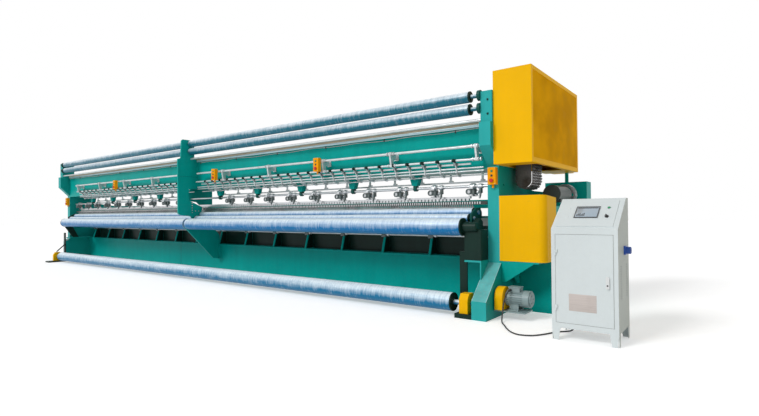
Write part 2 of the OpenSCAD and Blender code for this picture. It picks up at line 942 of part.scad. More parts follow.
module stop_boxes() {
  placed()
  color(yellow)
  for (i = [0 : 4])
  translate([box_x[i], box_y[i], box_z[i]])
  difference() {
    union() {
      box([-box_w / 2, box_w / 2], [-box_deep, 0], [0, box_h]);
      translate([0, -20, -34])
      cylinder(d = 22, h = 35);
    }
    for (b = [0 : 2])
    translate([0, -box_deep - 1, button_z(b)])
    rotate([-90, 0, 0])
    cylinder(d = 19, h = 24);
  }
}

function button_z(b) = b == 0 ? 42 : b == 1 ? 92 : 138;

module button(i, b) {
  translate([box_x[i], box_y[i] - box_deep, box_z[i] + button_z(b)])
  rotate([90, 0, 0])
  if (b == 0) {
    translate([0, 0, -12])
    cylinder(d = 18, h = 22);
    translate([0, 0, 6])
    cylinder(d = 40, h = 10);
    translate([0, 0, 16])
    cylinder(d1 = 40, d2 = 30, h = 4);
  } else {
    translate([0, 0, -12])
    cylinder(d = 18, h = 19);
  }
}

module stop_button_1() { placed() color([0.8, 0.1, 0.1]) button(0, 0); }
module stop_button_2() { placed() color([0.8, 0.1, 0.1]) button(1, 0); }
module stop_button_3() { placed() color([0.8, 0.1, 0.1]) button(2, 0); }
module stop_button_4() { placed() color([0.8, 0.1, 0.1]) button(3, 0); }
module stop_button_5() { placed() color([0.8, 0.1, 0.1]) button(4, 0); }
module jog_button_1() { placed() color(dark) button(0, 1); }
module jog_button_2() { placed() color(dark) button(1, 1); }
module jog_button_3() { placed() color(dark) button(2, 1); }
module jog_button_4() { placed() color(dark) button(3, 1); }
module jog_button_5() { placed() color(dark) button(4, 1); }
module run_button_1() { placed() color([0.1, 0.5, 0.3]) button(0, 2); }
module run_button_2() { placed() color([0.1, 0.5, 0.3]) button(1, 2); }
module run_button_3() { placed() color([0.1, 0.5, 0.3]) button(2, 2); }
module run_button_4() { placed() color([0.1, 0.5, 0.3]) button(3, 2); }
module run_button_5() { placed() color([0.1, 0.5, 0.3]) button(4, 2); }

// ---------- cabinet ----------

// outline of the cabinet's side, from its own front
function cab_side(e) = [
  [e, leg_h + e], [e, body_h - e * (1 / cos(slope_a) - tan(slope_a))],
  [desk_d + e * (1 / cos(slope_a) - 1) / tan(slope_a), cab_h - e],
  [cab_d - e, cab_h - e], [cab_d - e, leg_h + e]];

slope_a = atan2(cab_h - body_h, desk_d);
desk_len = norm([desk_d, cab_h - body_h]);

module on_console() {
  translate([cab_x, cab_y, body_h])
  rotate([slope_a, 0, 0])
  children();
}

module cabinet_shell() {
  placed()
  color(white) {
    for (z = hinge_z) {
      translate([cab_x + 36, cab_y - hinge_y, z])
      cylinder(d = 10, h = 24);
      translate([cab_x + 36, cab_y - hinge_y, z])
      cylinder(d = 5, h = 50);
      box([cab_x + 26, cab_x + 34], [cab_y - 10, cab_y + 1], [z, z + 24]);
    }
    shell_body();
  }
}

module shell_body() {
  difference() {
    union() {
      difference() {
        translate([0, cab_y, 0])
        side_plate(cab_x, cab_w, cab_side(0));
        translate([0, cab_y, 0])
        side_plate(cab_x + cab_t, cab_w - 2 * cab_t, cab_side(cab_t));
      }
      // legs
      for (x = [0, 1])
      for (y = [0, 1])
      translate([cab_x + x * cab_w, cab_y + y * cab_d, 0])
      mirror([x, 0, 0])
      mirror([0, y, 0])
      leg();
    }
    // door opening
    box([cab_x + 35, cab_x + cab_w - 35], [cab_y - 1, cab_y + cab_t + 1],
      [leg_h + 45, body_h - 45]);
    // hole for the screen
    on_console()
    translate([160, 148, -10])
    cube([172, 140, 12]);
    // holes for the button and the switch
    on_console()
    translate([406, 278, -20])
    cylinder(d = 23, h = 30);
    on_console()
    translate([406, 160, -20])
    cylinder(d = 13, h = 30);
    // cable entry in the floor
    translate([cab_x + 99, cab_y + 326, leg_h - 1])
    cylinder(d = 24.1, h = cab_t + 2);
    // louvres in the side
    for (i = [0 : 13])
    for (y = [110, 330])
    box([cab_x + cab_w - 1.5, cab_x + cab_w + 1], [cab_y + y - 30, cab_y + y + 30],
      [362 + i * 19.5, 369 + i * 19.5]);
  }
}

module leg() {
  union() {
    translate([0, 3, 0])
    rotate([90, 0, 0])
    linear_extrude(height = 3)
    polygon([[0, leg_h + 0.5], [68, leg_h + 0.5], [52, 0], [12, 0]]);
    translate([0, 0, 0])
    rotate([90, 0, 90])
    linear_extrude(height = 3)
    polygon([[0, leg_h + 0.5], [60, leg_h + 0.5], [48, 0], [12, 0]]);
    linear_extrude(height = 3)
    translate([12, 0])
    square([40, 3]);
    translate([0, 0, leg_h - 3])
    cube([60, 55, 3.5]);
  }
}

module cabinet_door() {
  w = cab_w - 70 - 2 * door_gap;
  h = body_h - leg_h - 90 - 2 * door_gap;
  x = cab_x + 35 + door_gap;
  z = leg_h + 45 + door_gap;
  placed()
  color(white) {
    for (hz = hinge_z)
    difference() {
      union() {
        translate([cab_x + 36, cab_y - hinge_y, hz + 24 + slide_gap])
        cylinder(d = 10, h = 24);
        box([cab_x + 38, cab_x + 50], [cab_y - 10, cab_y - 0.5],
          [hz + 24 + slide_gap, hz + 48 + slide_gap]);
      }
      translate([cab_x + 36, cab_y - hinge_y, hz])
      cylinder(d = 5 + 2 * run_gap, h = 60);
    }
    door_leaf(x, w, z, h);
  }
}

module door_leaf(x, w, z, h) {
  difference() {
    box([x, x + w], [cab_y - 1, cab_y + 14], [z, z + h]);
    box([x + 2, x + w - 2], [cab_y + 1, cab_y + 15], [z + 2, z + h - 2]);
    // hole for the lock
    translate([x + w - 40, cab_y - 2, z + h * 0.5 - 45])
    rotate([-90, 0, 0])
    cylinder(d = 16.6, h = 20);
  }
}

module lock_handle() {
  w = cab_w - 70 - 2 * door_gap;
  h = body_h - leg_h - 90 - 2 * door_gap;
  x = cab_x + 35 + door_gap + w - 40;
  z = leg_h + 45 + door_gap + h * 0.5 - 45;
  placed()
  color(steel) {
    translate([x, cab_y - 1 - air, z])
    rotate([90, 0, 0])
    cylinder(d = 26, h = 14);
    translate([x, cab_y - 1 - air, z + 70])
    rotate([90, 0, 0])
    cylinder(d = 26, h = 14);
    box([x - 13, x + 13], [cab_y - 15 - air, cab_y - 1 - air], [z, z + 70]);
    translate([x, cab_y - 2, z])
    rotate([-90, 0, 0])
    cylinder(d = 16, h = 24);
    // tongue behind the door
    box([x - 8, x + 8], [cab_y + 16, cab_y + 20], [z - 8, z + 46]);
  }
}

module console_panel() {
  placed()
  color(white)
  on_console()
  difference() {
    translate([40, 30, 0.1])
    cube([cab_w - 80, desk_len - 60, 4.9]);
    translate([160, 148, -1])
    cube([172, 140, 12]);
    translate([406, 278, -1])
    cylinder(d = 23, h = 12);
    translate([406, 160, -1])
    cylinder(d = 13, h = 12);
  }
}

module screen() {
  placed()
  color([0.2, 0.25, 0.3])
  on_console() {
    translate([152, 140, 5])
    cube([188, 156, 6]);
    translate([160, 148, -25])
    cube([172, 140, 31]);
  }
}

module start_button() {
  placed()
  color([0.05, 0.5, 0.25])
  on_console()
  translate([406, 278, 0]) {
    translate([0, 0, -12])
    cylinder(d = 22, h = 24);
  }
}

module selector_switch() {
  placed()
  color(dark)
  on_console()
  translate([406, 160, 0]) {
    translate([0, 0, -12])
    cylinder(d = 12, h = 20);
    translate([0, 0, 5 + air])
    cylinder(d = 30, h = 7);
    rotate([0, 0, 30])
    translate([-4.5, -13, 9])
    cube([9, 26, 15]);
  }
}

module power_socket() {
  placed()
  color([0.05, 0.25, 0.7]) {
    x = cab_x + cab_w;
    box([x, x + 14], [cab_y + 215, cab_y + 285], [705, 775]);
    translate([x + 14, cab_y + 250, 740])
    rotate([0, 90, 0])
    difference() {
      cylinder(d = 58, h = 34);
      translate([0, 0, 8])
      cylinder(d = 46, h = 30);
    }
  }
}

// ---------- cable ----------

// hand-chosen route from the motor's terminal box to the cabinet floor
cable_route = [
  [xr + 165, wind_y - 45, wind_z + 84],
  [xr + 165, wind_y - 64, wind_z + 84],
  [xr + 163, wind_y - 93, wind_z + 78],
  [xr + 157, wind_y - 118, wind_z + 60],
  [xr + 148, wind_y - 132, wind_z + 30],
  [xr + 138, wind_y - 141, wind_z - 6],
  [xr + 130, wind_y - 147, wind_z - 48],
  [xr + 126, wind_y - 154, wind_z - 92],
  [xr + 127, wind_y - 169, wind_z - 134],
  [xr + 134, wind_y - 196, wind_z - 169],
  [xr + 149, wind_y - 234, wind_z - 190],
  [xr + 174, wind_y - 282, wind_z - 198],
  [xr + 220, wind_y - 350, 7],
  [xr + 290, wind_y - 460, 7],
  [xr + 370, wind_y - 560, 7],
  [xr + 460, wind_y - 612, 7],
  [xr + 560, wind_y - 580, 7],
  [xr + 630, wind_y - 480, 7],
  [xr + 682, wind_y - 360, 7],
  [cab_x - 1, cab_y + 259, 7],
  [cab_x + 39, cab_y + 297, 8],
  [cab_x + 69, cab_y + 312, 16],
  [cab_x + 91, cab_y + 322, 40],
  [cab_x + 99, cab_y + 326, 74],
  [cab_x + 99, cab_y + 326, 96]];

function mix(a, b, c, d, t) = 0.5 * (
  2 * b + (c - a) * t + (2 * a - 5 * b + 4 * c - d) * t * t
  + (3 * b - a - 3 * c + d) * t * t * t);

function path_at(i, t) = mix(
  cable_route[max(i - 1, 0)], cable_route[i], cable_route[i + 1],
  cable_route[min(i + 2, len(cable_route) - 1)], t);

steps = 4;
path = [for (i = [0 : len(cable_route) - 2]) for (k = [0 : steps - 1])
  path_at(i, k / steps), cable_route[len(cable_route) - 1]];

function unit(v) = v / norm(v);

module tube(pts, d, sides) {
  n = len(pts);
  dir = [for (i = [0 : n - 1]) unit(pts[min(i + 1, n - 1)] - pts[max(i - 1, 0)])];
  // side vector kept level, so that the rings do not twist
  side = [for (i = [0 : n - 1])
    unit(cross(dir[i], abs(dir[i][2]) > 0.9 ? [1, 0.3, 0] : [0, 0, 1]))];
  up = [for (i = [0 : n - 1]) cross(side[i], dir[i])];
  rings = [for (i = [0 : n - 1]) for (k = [0 : sides - 1])
    pts[i] + d / 2 * (cos(k * 360 / sides) * side[i] + sin(k * 360 / sides) * up[i])];
  faces = concat(
    [[for (k = [0 : sides - 1]) k]],
    [for (i = [0 : n - 2]) for (k = [0 : sides - 1])
      [i * sides + k, (i + 1) * sides + k, (i + 1) * sides + (k + 1) % sides,
      i * sides + (k + 1) % sides]],
    [[for (k = [sides - 1 : -1 : 0]) (n - 1) * sides + k]]);
  polyhedron(points = rings, faces = faces);
}

module motor_cable() {
  placed()
  color(dark)
  tube(path, cable_d, 10);
}

module cable_glands() {
  placed()
  color(dark) {
    translate([xr + 165, wind_y - 45, wind_z + 84])
    rotate([90, 0, 0])
    difference() {
      cylinder(d = 24, h = 12, $fn = 6);
      translate([0, 0, -1])
      cylinder(d = cable_d + 1, h = 14);
    }
    translate([cab_x + 99, cab_y + 326, leg_h - 20])
    difference() {
      union() {
        cylinder(d = 30, h = 20, $fn = 6);
        cylinder(d = 24, h = 20 + cab_t);
      }
      translate([0, 0, -1])
      cylinder(d = cable_d + 1, h = 60);
    }
  }
}

base_beam();
end_frames();
middle_frame();
upper_beam();
drive_trough();
feed_roller_upper();
feed_roller_lower();
takeup_roller();
press_roller_upper();
press_roller_lower();
cloth_roll();
bearing_housings();
trick_plate();
needle_bar();
guide_bar_front();
guide_bar_back();
swing_shaft();
swing_hangers();
rail_rods();
rail_arms();
takeup_gearbox();
roll_stands();
roll_brackets();
wind_belt_cover();
wind_motor();
drive_cover();
drive_pedestal();
main_motor();
motor_pulley();
pattern_cover();
belt_cover();
pattern_panel();
pattern_drum();
pattern_chains();
stop_boxes();
stop_button_1();
stop_button_2();
stop_button_3();
stop_button_4();
stop_button_5();
jog_button_1();
jog_button_2();
jog_button_3();
jog_button_4();
jog_button_5();
run_button_1();
run_button_2();
run_button_3();
run_button_4();
run_button_5();
cabinet_shell();
cabinet_door();
lock_handle();
console_panel();
screen();
start_button();
selector_switch();
power_socket();
motor_cable();
cable_glands();
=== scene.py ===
import math

import bmesh
import bpy
from mathutils import Matrix, Vector


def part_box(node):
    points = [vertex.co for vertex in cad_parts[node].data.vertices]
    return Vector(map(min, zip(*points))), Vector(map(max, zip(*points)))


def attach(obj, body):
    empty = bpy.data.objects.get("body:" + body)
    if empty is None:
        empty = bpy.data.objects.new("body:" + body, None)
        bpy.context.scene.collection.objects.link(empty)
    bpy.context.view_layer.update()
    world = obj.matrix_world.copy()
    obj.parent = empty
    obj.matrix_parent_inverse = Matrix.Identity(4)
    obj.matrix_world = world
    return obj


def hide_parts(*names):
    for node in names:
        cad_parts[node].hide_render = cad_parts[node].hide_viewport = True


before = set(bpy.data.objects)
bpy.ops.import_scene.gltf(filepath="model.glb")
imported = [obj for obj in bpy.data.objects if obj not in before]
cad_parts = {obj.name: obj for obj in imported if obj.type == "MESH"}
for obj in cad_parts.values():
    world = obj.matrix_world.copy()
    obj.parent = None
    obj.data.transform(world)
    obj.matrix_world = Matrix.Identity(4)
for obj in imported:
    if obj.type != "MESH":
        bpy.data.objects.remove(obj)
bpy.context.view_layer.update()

# Raschel warp knitting machine for nets. Metres. X runs along the machine
# to the drive end, Y from the fabric side to the back, Z up.

STATIC = "frame"

HALF_FRAME = 5.460          # middle to the outer face of an end frame
INNER_HALF = 5.335          # middle to the inner face of an end frame
RIB_PITCH = 0.727           # ribs on the base beam
BRACKET_PITCH = 0.970       # brackets that hang from the upper beam

# ---------------------------------------------------------------- camera

CAMERA_PLACE = (7.474, -5.586, 1.05)
CAMERA_YAW, CAMERA_PITCH, CAMERA_ROLL = 0.6473, 0.0125, -0.0083     # radians
LENS, SENSOR_WIDTH = 22.86, 36.0                                    # millimetres


def aim_camera():
    """Chest height off the drive end, looking back along the rollers."""
    yaw, pitch, roll = CAMERA_YAW, CAMERA_PITCH, CAMERA_ROLL
    ahead = Vector((-math.sin(yaw) * math.cos(pitch),
                    math.cos(yaw) * math.cos(pitch), math.sin(pitch)))
    level = Vector((math.cos(yaw), math.sin(yaw), 0))
    upward = level.cross(ahead)
    right = level * math.cos(roll) + upward * math.sin(roll)
    up = upward * math.cos(roll) - level * math.sin(roll)
    turn = Matrix((right, up, -ahead)).transposed().to_4x4()
    data = bpy.data.cameras.new("camera")
    data.sensor_width = SENSOR_WIDTH
    data.lens = LENS
    data.clip_end = 200
    camera = bpy.data.objects.new("camera", data)
    camera.matrix_world = Matrix.Translation(CAMERA_PLACE) @ turn
    bpy.context.scene.collection.objects.link(camera)
    bpy.context.scene.camera = camera


aim_camera()

# ---------------------------------------------------------------- mesh helpers


def new_piece(name, shape, body, surface, smooth_below=35):
    """Makes a piece of a shape; its edges stay crisp where they turn more than an angle."""
    bmesh.ops.recalc_face_normals(shape, faces=shape.faces)
    for face in shape.faces:
        face.smooth = True
    for edge in shape.edges:
        if len(edge.link_faces) == 2 and edge.calc_face_angle(0) > math.radians(smooth_below):
            edge.smooth = False
    mesh = bpy.data.meshes.new(name)
    shape.to_mesh(mesh)
    shape.free()
    mesh.materials.append(surface)
    piece = bpy.data.objects.new(name, mesh)
    bpy.context.scene.collection.objects.link(piece)
    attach(piece, body)


def add_block(shape, low, high, bevel=0.0):
    """A box with softened edges; it is made apart, so that its faces keep one order."""
    block = bmesh.new()
    bmesh.ops.create_cube(block, size=1.0)
    size = [high[k] - low[k] for k in range(3)]
    middle = [(high[k] + low[k]) / 2 for k in range(3)]
    bmesh.ops.scale(block, vec=size, verts=block.verts)
    bmesh.ops.translate(block, vec=middle, verts=block.verts)
    if bevel:
        bmesh.ops.bevel(block, geom=block.edges[:], offset=bevel, segments=2, profile=0.5,
                        affect="EDGES", clamp_overlap=True)
    mesh = bpy.data.meshes.new("block")
    block.to_mesh(mesh)
    block.free()
    shape.from_mesh(mesh)
    bpy.data.meshes.remove(mesh)


def add_rod(shape, start, end, radius, sides=16, taper=1.0):
    """A closed round bar from one point to another."""
    start, end = Vector(start), Vector(end)
    along = end - start
    turn = along.to_track_quat("Z", "Y").to_matrix().to_4x4()
    place = Matrix.Translation((start + end) / 2) @ turn
    bmesh.ops.create_cone(shape, cap_ends=True, cap_tris=False, segments=sides,
                          radius1=radius, radius2=radius * taper,
                          depth=along.length, matrix=place)


def add_prism(shape, near_outline, far_outline):
    """A solid between two outlines whose corners match."""
    near = [shape.verts.new(corner) for corner in near_outline]
    far = [shape.verts.new(corner) for corner in far_outline]
    shape.faces.new(near)
    shape.faces.new(far[::-1])
    for k in range(len(near)):
        n = (k + 1) % len(near)
        shape.faces.new((near[k], far[k], far[n], near[n]))


def add_plate(shape, outline, low_x, high_x):
    """A flat plate with its outline in Y and Z."""
    add_prism(shape, [(low_x, y, z) for y, z in outline], [(high_x, y, z) for y, z in outline])


def add_ring(shape, centre, low, high, inner, outer, sides=40):
    """A flat ring round a point, between two heights; gives back its vertices."""
    loops = []
    for radius, z in ((inner, low), (outer, low), (outer, high), (inner, high)):
        loops.append([shape.verts.new((centre[0] + radius * math.cos(2 * math.pi * k / sides),
                                       centre[1] + radius * math.sin(2 * math.pi * k / sides), z))
                      for k in range(sides)])
    for i in range(4):
        a, b = loops[i], loops[(i + 1) % 4]
        for k in range(sides):
            shape.faces.new((a[k], a[(k + 1) % sides], b[(k + 1) % sides], b[k]))
    return [v for loop in loops for v in loop]


def add_front_ring(shape, x, z, front, back, inner, outer):
    """A ring that faces the front of the machine."""
    for v in add_ring(shape, (x, z), front, back, inner, outer, 32):
        v.co = Vector((v.co.x, v.co.z, v.co.y))


# ---------------------------------------------------------------- motor cable

CABLE_RADIUS = 0.0065
MOTOR_Y = -0.955            # middle of the fan motor, which stands off the end frame


def cable_route():
    """The route along the floor from the fan motor to the cabinet."""
    knots = [(0.165, -0.045, 0.289), (0.165, -0.064, 0.289), (0.163, -0.093, 0.283),
             (0.157, -0.118, 0.265), (0.148, -0.132, 0.235), (0.138, -0.141, 0.199),
             (0.130, -0.147, 0.157), (0.126, -0.154, 0.113), (0.127, -0.169, 0.071),
             (0.134, -0.196, 0.036), (0.149, -0.234, 0.015), (0.174, -0.282, 0.007),
             (0.220, -0.350, 0.007), (0.290, -0.460, 0.007), (0.370, -0.560, 0.007),
             (0.460, -0.612, 0.007), (0.560, -0.580, 0.007), (0.630, -0.480, 0.007),
             (0.682, -0.360, 0.007), (0.725, -0.297, 0.007), (0.765, -0.259, 0.008),
             (0.795, -0.244, 0.016), (0.817, -0.234, 0.040), (0.825, -0.230, 0.074),
             (0.825, -0.230, 0.096)]
    return [Vector((HALF_FRAME + x, MOTOR_Y + y, z)) for x, y, z in knots]


def smooth_line(knots, steps):
    """Catmull-Rom points through every knot."""
    line = []
    for i in range(len(knots) - 1):
        a, b = knots[max(i - 1, 0)], knots[i]
        c, d = knots[i + 1], knots[min(i + 2, len(knots) - 1)]
        for k in range(steps):
            t = k / steps
            line.append(0.5 * (2 * b + (c - a) * t + (2 * a - 5 * b + 4 * c - d) * t * t
                               + (3 * b - a - 3 * c + d) * t ** 3))
    return line + [knots[-1]]


def curve_piece(name, line, radius, surface, widths=None):
    """A round wire along a line, as thick at each point as its width says."""
    data = bpy.data.curves.new(name, "CURVE")
    data.dimensions = "3D"
    data.bevel_depth = radius
    data.bevel_resolution = 4
    data.use_fill_caps = True
    spline = data.splines.new("POLY")
    spline.points.add(len(line) - 1)
    for point, place, width in zip(spline.points, line, widths or [1.0] * len(line)):
        point.co = (*place, 1.0)
        point.radius = width
    spline.use_smooth = True
    data.materials.append(surface)
    piece = bpy.data.objects.new(name, data)
    bpy.context.scene.collection.objects.link(piece)
    return piece


# ---------------------------------------------------------------- shared effects


def effect(name, inputs):
    """An empty shader group with named sockets, which gives colour, roughness and height."""
    tree = bpy.data.node_groups.new(name, "ShaderNodeTree")
    for label, value in inputs:
        kind = "NodeSocketColor" if isinstance(value, tuple) else "NodeSocketFloat"
        socket = tree.interface.new_socket(label, in_out="INPUT", socket_type=kind)
        socket.default_value = value
    for label, kind in (("Colour", "Color"), ("Roughness", "Float"), ("Height", "Float")):
        tree.interface.new_socket(label, in_out="OUTPUT", socket_type="NodeSocket" + kind)
    return tree, tree.nodes.new("NodeGroupInput"), tree.nodes.new("NodeGroupOutput")


def node(tree, kind, values=(), **settings):
    """A shader node with its settings, and each input linked to a socket or set to a value."""
    made = tree.nodes.new("ShaderNode" + kind)
    for key, value in settings.items():
        setattr(made, key, value)
    for label, value in values:
        if isinstance(value, bpy.types.NodeSocket):
            tree.links.new(value, made.inputs[label])
        else:
            made.inputs[label].default_value = value
    return made


def math_node(tree, operation, a, b=0.0, clamp=False):
    """The result of a sum on two sockets or values."""
    return node(tree, "Math", [(0, a), (1, b)], operation=operation, use_clamp=clamp).outputs[0]


def mix_colour(tree, factor, a, b):
    """The first colour where the factor is 0 and the second where it is 1."""
    return node(tree, "Mix", [(0, factor), (6, a), (7, b)], data_type="RGBA").outputs[2]


def lightened(tree, base, lightness):
    """A colour made lighter or darker."""
    return node(tree, "HueSaturation", [("Color", base), ("Value", lightness)]).outputs[0]


def facing_part(tree, axis):
    """How far the surface faces along X, Y or Z, from -1 to 1."""
    normal = node(tree, "NewGeometry").outputs["Normal"]
    return node(tree, "SeparateXYZ", [(0, normal)]).outputs[axis]


def stretched(tree, x, y, z):
    """Object coordinates in metres, scaled along each axis."""
    place = node(tree, "TexCoord").outputs["Object"]
    return node(tree, "Mapping", [("Vector", place), ("Scale", (x, y, z))]).outputs[0]


def noise(tree, place, scale, detail=3.0, rough=0.55):
    """A soft random pattern round 0.5."""
    return node(tree, "TexNoise", [("Vector", place), ("Scale", scale), ("Detail", detail),
                                   ("Roughness", rough)]).outputs["Fac"]


def ranged(tree, value, low, high, out_low=0.0, out_high=1.0, ease="LINEAR"):
    """Moves a value from one range to another, and holds it inside that one."""
    return node(tree, "MapRange", [("Value", value), ("From Min", low), ("From Max", high),
                                   ("To Min", out_low), ("To Max", out_high)],
                interpolation_type=ease).outputs[0]


def paint_effect():
    """Enamel: cloudy colour, runs, peel, chips and dust, with painted shade on faces towards X."""
    tree, given, out = effect(
        "enamel_film",
        [("Colour", (0.5, 0.5, 0.5, 1)), ("Cloud", 0.12), ("Dust", 0.1), ("Chips", 0.0),
         ("Gloss Roughness", 0.35), ("Peel", 1.0),
         ("End Tone", (0.5, 0.5, 0.5, 1)), ("End Amount", 0.0)])
    even = stretched(tree, 1, 1, 1)
    cloud = noise(tree, even, 2.3, 4.0, 0.6)
    runs = noise(tree, stretched(tree, 9, 9, 0.7), 1.0, 3.0)
    both = math_node(tree, "ADD", math_node(tree, "MULTIPLY", cloud, 0.6),
                     math_node(tree, "MULTIPLY", runs, 0.4))
    signed = ranged(tree, both, 0.3, 0.7, -1.0, 1.0)
    shift = math_node(tree, "ADD", 1.0, math_node(tree, "MULTIPLY", signed, given.outputs["Cloud"]))
    toned = lightened(tree, given.outputs["Colour"], shift)
    specks = noise(tree, even, 34.0, 5.0, 0.7)
    dust_mask = math_node(tree, "MULTIPLY", ranged(tree, specks, 0.45, 0.75),
                          given.outputs["Dust"], clamp=True)
    dusty = mix_colour(tree, dust_mask, toned, (0.30, 0.27, 0.22, 1))
    nicks = ranged(tree, noise(tree, even, 11.0, 8.0, 0.75), 0.66, 0.70)
    chip_mask = math_node(tree, "MULTIPLY", nicks, given.outputs["Chips"], clamp=True)
    chipped = mix_colour(tree, chip_mask, dusty, (0.12, 0.11, 0.10, 1))
    # painted shade: faces towards X are mixed towards a darker tone
    side_shade_mask = math_node(tree, "MULTIPLY", ranged(tree, facing_part(tree, 0), 0.75, 0.95),
                         given.outputs["End Amount"])
    tree.links.new(mix_colour(tree, side_shade_mask, chipped, given.outputs["End Tone"]),
                   out.inputs["Colour"])
    rough = math_node(tree, "ADD", given.outputs["Gloss Roughness"],
                      math_node(tree, "MULTIPLY", specks, 0.16))
    tree.links.new(rough, out.inputs["Roughness"])
    peel = math_node(tree, "MULTIPLY", noise(tree, even, 160.0, 2.0), given.outputs["Peel"])
    tree.links.new(math_node(tree, "SUBTRACT", peel, chip_mask), out.inputs["Height"])
    return tree


def ground_steel_effect():
    """Ground or drawn metal: fine lines one way, soft stains and oil."""
    tree, given, out = effect(
        "ground_steel",
        [("Colour", (0.7, 0.7, 0.7, 1)), ("Stain", (0.2, 0.2, 0.2, 1)), ("Stain Amount", 0.25),
         ("Line X", 2.0), ("Line Y", 220.0), ("Line Z", 220.0), ("Base Roughness", 0.28)])
    place = node(tree, "TexCoord").outputs["Object"]
    way = node(tree, "CombineXYZ", [("X", given.outputs["Line X"]), ("Y", given.outputs["Line Y"]),
                                    ("Z", given.outputs["Line Z"])]).outputs[0]
    lined = node(tree, "VectorMath", [(0, place), (1, way)], operation="MULTIPLY").outputs[0]
    lines = noise(tree, lined, 1.0, 2.0)
    stain = ranged(tree, noise(tree, place, 6.0, 6.0, 0.65), 0.48, 0.72)
    stain_mask = math_node(tree, "MULTIPLY", stain, given.outputs["Stain Amount"], clamp=True)
    toned = lightened(tree, given.outputs["Colour"], ranged(tree, lines, 0.3, 0.7, 0.86, 1.1))
    tree.links.new(mix_colour(tree, stain_mask, toned, given.outputs["Stain"]),
                   out.inputs["Colour"])
    rough = math_node(tree, "ADD", given.outputs["Base Roughness"],
                      math_node(tree, "MULTIPLY", stain_mask, 0.35))
    tree.links.new(rough, out.inputs["Roughness"])
    tree.links.new(lines, out.inputs["Height"])
    return tree


def roller_effect():
    """Plated rollers: a painted highlight above, and their blue darkened by painted shade below,
    with fine rings and small patches.
    """
    tree, given, out = effect(
        "plated_barrel",
        [("Light", (0.85, 0.9, 0.95, 1)), ("Blue", (0.2, 0.45, 0.75, 1)), ("Blue Amount", 0.8),
         ("Rings", 0.5), ("Turn", 0.3)])
    place = node(tree, "TexCoord").outputs["Object"]

    def streaks(x, y, z, detail, rough):
        """Noise drawn out along the axes with the smaller scales."""
        way = node(tree, "VectorMath", [(0, place), (1, (x, y, z))], operation="MULTIPLY")
        return noise(tree, way.outputs[0], 1.0, detail, rough)

    rings = streaks(46.0, 5.0, 5.0, 5.0, 0.65)
    long_way = streaks(1.3, 24.0, 24.0, 4.0, 0.6)
    patches = streaks(8.0, 16.0, 16.0, 5.0, 0.7)
    # painted highlight and painted shade: faces turned up go towards the pale colour, faces turned
    # down towards the blue
    below = ranged(tree, facing_part(tree, 2), 0.80, -0.38)
    mottle = math_node(tree, "ADD", math_node(tree, "MULTIPLY", rings, given.outputs["Rings"]),
                       math_node(tree, "MULTIPLY", math_node(tree, "ADD", long_way, patches), 0.30))
    mottle = ranged(tree, mottle, 0.40, 0.66, -1.0, 1.0)
    shade = math_node(tree, "ADD", math_node(tree, "MULTIPLY", below, given.outputs["Blue Amount"]),
                      math_node(tree, "MULTIPLY", mottle, given.outputs["Turn"]), clamp=True)
    tree.links.new(mix_colour(tree, shade, given.outputs["Light"], given.outputs["Blue"]),
                   out.inputs["Colour"])
    tree.links.new(ranged(tree, patches, 0.3, 0.7, 0.26, 0.46), out.inputs["Roughness"])
    tree.links.new(math_node(tree, "MULTIPLY", rings, 0.6), out.inputs["Height"])
    return tree


def grain_effect():
    """Moulded plastic or rubber: fine pebbled grain and faint scuffs."""
    tree, given, out = effect(
        "moulded_grain",
        [("Colour", (0.1, 0.1, 0.1, 1)), ("Scuff", 0.15), ("Base Roughness", 0.45),
         ("Pebble", 900.0)])
    place = node(tree, "TexCoord").outputs["Object"]
    pebble = node(tree, "TexNoise", [("Vector", place), ("Scale", given.outputs["Pebble"]),
                                     ("Detail", 2.0)]).outputs["Fac"]
    scuffs = ranged(tree, noise(tree, place, 40.0, 6.0, 0.7), 0.5, 0.75)
    scuff_mask = math_node(tree, "MULTIPLY", scuffs, given.outputs["Scuff"], clamp=True)
    tree.links.new(mix_colour(tree, scuff_mask, given.outputs["Colour"], (0.42, 0.42, 0.42, 1)),
                   out.inputs["Colour"])
    tree.links.new(math_node(tree, "ADD", given.outputs["Base Roughness"],
                             math_node(tree, "MULTIPLY", scuff_mask, 0.4)),
                   out.inputs["Roughness"])
    tree.links.new(pebble, out.inputs["Height"])
    return tree


def tinted_effect():
    """Tinted sheet: the dim machinery behind it shows as soft darker clouds."""
    tree, given, out = effect(
        "tinted_sheet",
        [("Colour", (0.8, 0.4, 0.0, 1)), ("Shade", (0.4, 0.2, 0.0, 1)), ("Depth", 0.7)])
    clouds = noise(tree, stretched(tree, 1.0, 1.3, 1.5), 1.1, 2.0, 0.45)
    shapes = noise(tree, stretched(tree, 1.0, 2.6, 3.6), 2.2, 3.0, 0.5)
    both = math_node(tree, "ADD", math_node(tree, "MULTIPLY", clouds, 0.75),
                     math_node(tree, "MULTIPLY", shapes, 0.25))
    mask = math_node(tree, "MULTIPLY", ranged(tree, both, 0.38, 0.66, ease="SMOOTHSTEP"),
                     given.outputs["Depth"], clamp=True)
    tree.links.new(mix_colour(tree, mask, given.outputs["Colour"], given.outputs["Shade"]),
                   out.inputs["Colour"])
    tree.links.new(ranged(tree, shapes, 0.3, 0.7, 0.18, 0.30), out.inputs["Roughness"])
    tree.links.new(clouds, out.inputs["Height"])
    return tree


ENAMEL = paint_effect()
TINTED = tinted_effect()
GROUND_STEEL = ground_steel_effect()
PLATED = roller_effect()
MOULDED = grain_effect()


